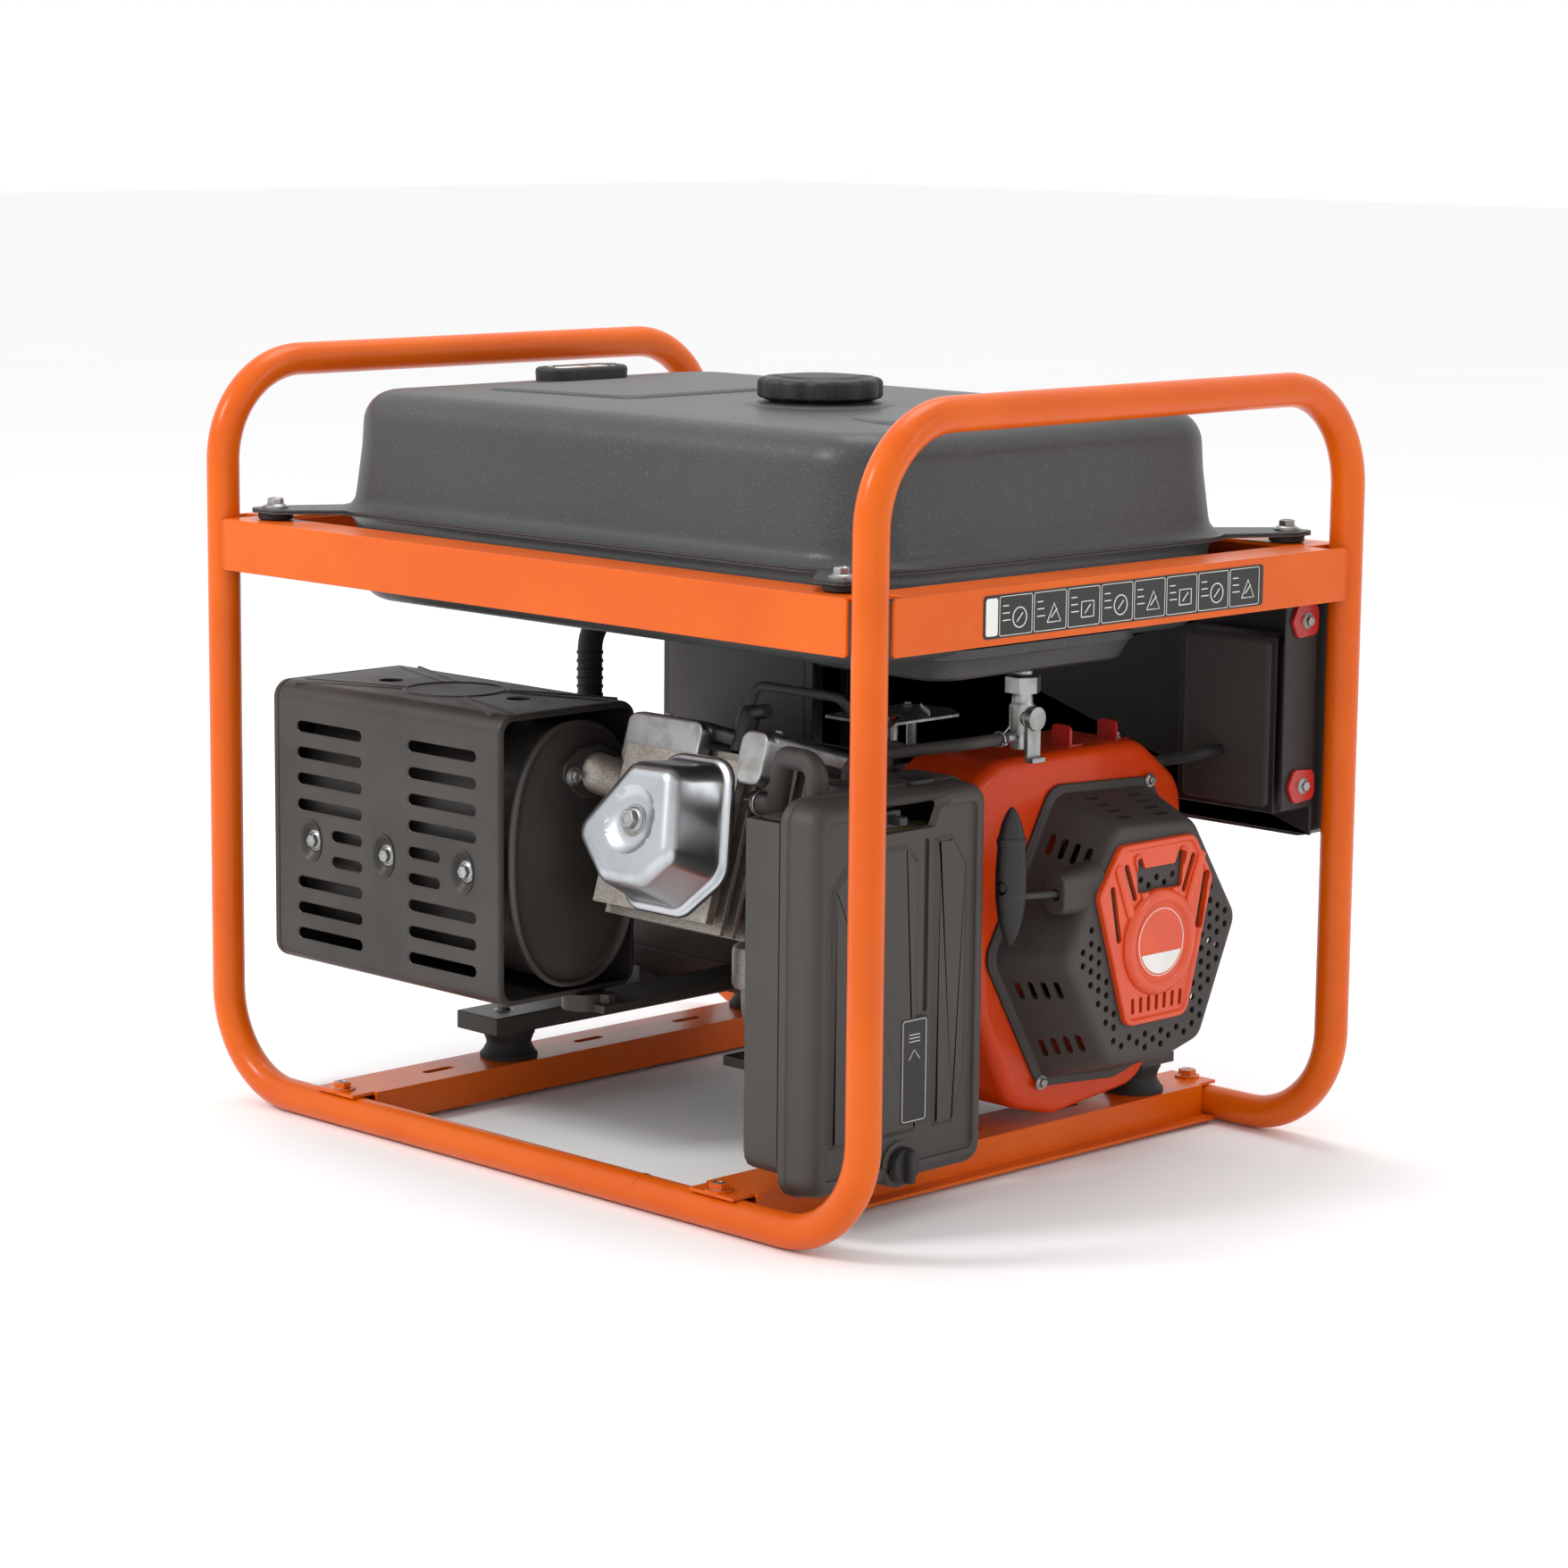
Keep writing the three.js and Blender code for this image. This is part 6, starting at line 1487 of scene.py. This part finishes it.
# ---------------------------------------------------------------- control panel
def make_panel():
    front = 262.0
    socket_z = 328
    panel = dressed_copy("control_panel", "control_panel_face", 1.1, 3, 30)
    finish_piece(panel, SHEET_BLACK, "control_panel", 20)
    dress("panel_housing", BLACK_PLASTIC, edge=1.2, segments=3)
    bulges = []
    for span_x, span_y, span_z in (((224, 320), (213.5, 241), (256, 392)),
                                   ((-330, -150), (196.6, 241), (244, 386))):
        plan = rounded(rectangle(*span_x, *span_y), 12, 7)
        steps = [(span_z[0], inset(plan, 8)), (span_z[0] + 2.4, inset(plan, 2.4)), (span_z[0] + 8, plan),
                 (span_z[1] - 8, plan), (span_z[1] - 2.4, inset(plan, 2.4)), (span_z[1], inset(plan, 8))]
        bulges.append(body_through("bulge", "z", steps))
    finish_piece(merge(bulges, "panel_bulges"), GREY_PLASTIC, degrees=50)
    sockets, plates = [], []
    for x in (-50.0, 30.0):
        bezel = rounded(rectangle(x - 29, x + 29, socket_z - 29, socket_z + 29), 5, 6)
        hole = circle(21.5, 56, (x, socket_z))
        plate = body_through("socket_bezel", "y", [(front - 6, bezel), (front + 2.4, bezel),
                                                   (front + 3.6, inset(bezel, 1.2)),
                                                   (front + 3.6, inset(bezel, 2.5))])
        carve(plate, [body_through("hole", "y", [(front - 3, hole), (front + 9, inset(hole, -0.8))])])
        sockets.append(plate)
        core = circle(21, 56, (x, socket_z))
        insert = body_through("insert", "y", [(front - 5, core), (front - 1, core), (front - 0.4, inset(core,
                                                                                                        0.6)),
                                              (front - 0.4, inset(core, 5))])
        pins = []
        for du, dv, length, width, angle in ((-7, 2, 12, 3.4, math.pi / 2), (7, 2, 12, 3.4, math.pi / 2),
                                             (0, -10, 7, 5.4, 0)):
            shape = pill((x + du, socket_z + dv), length, width, angle)
            pins.append(slab("pin", "y", shape, (front - 4, front + 3)))
        carve(insert, pins)
        plates.append(insert)
    finish_piece(merge(sockets, "socket_bezels"), BLACK_PLASTIC, "outlet_block", 36)
    finish_piece(merge(plates, "socket_faces"), GREY_PLASTIC, degrees=36)
    dress("engine_switch", RED_PLASTIC, edge=1.4, segments=3)
    dress("breaker_rocker", BLACK_PLASTIC, edge=1.2, segments=3)
    dress("reset_button", WHITE_PLASTIC, edge=1.6, segments=3)
    pane = rounded(rectangle(-28, 28, 381, 415), 3, 4)
    finish_piece(slab("meter_glass", "y", pane, (front + 2.5, front + 3.1), 0.2), WHITE_PLASTIC)
    turns = [math.radians(25 + 130 * step / 20) for step in range(21)]
    dial = [(20 * math.cos(turn), front + 3.2, 386 + 20 * math.sin(turn)) for turn in turns]
    needle = [tube("dial_line", dial, 0.35, resolution=2),
              tube("needle", [(0, front + 3.3, 386), (-7, front + 3.3, 405)], 0.4, resolution=2)]
    finish_piece(merge(needle, "meter_dial"), BLACK_PLASTIC, degrees=50)
    screws = [((x, front, z), TO_PANEL) for x in (-322, -112, 92, 322) for z in (250, 411)]
    bolts("panel_screws", screws, 0.42)
    ears = []
    for z in (280, 405):
        outline = rounded([(214, z - 13), (238, z - 11), (238, z + 11), (214, z + 13), (207, z)], 6, 5)
        ears.append(slab("ear", "x", outline, (336.9, 339.6), 0.5))
    finish_piece(merge(ears, "panel_ears"), RED_PLASTIC)
    bolts("panel_ear_bolts", [((339.6, 224, z), TO_STARTER) for z in (280, 405)], 0.7)
    route = [(268, 214, 300), (268, 196, 300), (240, 180, 292), (226, 166, 288)]
    cable = tube("switch_cable", route, 4.5, 12, 6, 6)
    finish_piece(cable, RUBBER, degrees=60)


# ---------------------------------------------------------------- plates and stickers, all blank
def make_labels():
    x = box_of("rail_right")[1][0]
    strip = rounded(rectangle(-157, 145, 425, 455), 3, 4)
    finish_piece(slab("pictogram_strip", "x", strip, (x - 0.1, x + 0.5), 0.1), BLACK_PLASTIC)
    cells = []
    for step in range(8):
        y = -141 + step * 35.4
        line = [(x + 0.5, u, v) for u, v in rounded(rectangle(y, y + 33.2, 426.5, 453.5), 1.5, 3)]
        cells.append(outline_line("cell", line, 0.3))
        middle = (y + 20.5, 438)
        shapes = (circle(7.0, 20, middle), [(middle[0] - 7, 432), (middle[0] + 7, 432), (middle[0], 445)],
                  rectangle(middle[0] - 6.5, middle[0] + 6.5, 432.5, 443.5))
        cells.append(outline_line("pictogram", [(x + 0.5, u, v) for u, v in shapes[step % 3]], 0.5))
        cells.append(tube("pictogram", [(x + 0.5, middle[0] - 3, 435), (x + 0.5, middle[0] + 3, 441)], 0.5,
                          resolution=1))
        for row in range(3):
            z = 447 - row * 5
            dash = [(x + 0.5, y + 3, z), (x + 0.5, y + 9 + row, z)]
            cells.append(tube("pictogram", dash, 0.4, resolution=1))
    finish_piece(merge(cells, "pictograms"), WHITE_PLASTIC, degrees=60)
    tab = slab("strip_tab", "x", rounded(rectangle(-155, -143, 427, 453), 2, 3), (x + 0.1, x + 0.75), 0.1)
    finish_piece(tab, WHITE_PLASTIC)


studio()
HEX_BOLT = make_hex_bolt()
make_frame()
make_base()
make_tank()
make_muffler()
make_starter()
make_air_cleaner()
make_engine()
make_fuel_lines()
make_alternator()
make_panel()
make_labels()
bpy.data.objects.remove(HEX_BOLT)

# every CAD node that no piece above stands for is shown with rounded edges and its own finish
finish_of = {slot: finish for finish, slot in reversed(SLOT_OF.items())}
for entry in frame["record"]["subparts"]:
    if not frame["nodes"][entry["node"]].hide_render:
        dress(entry["node"], finish_of[entry["material_slot"]])
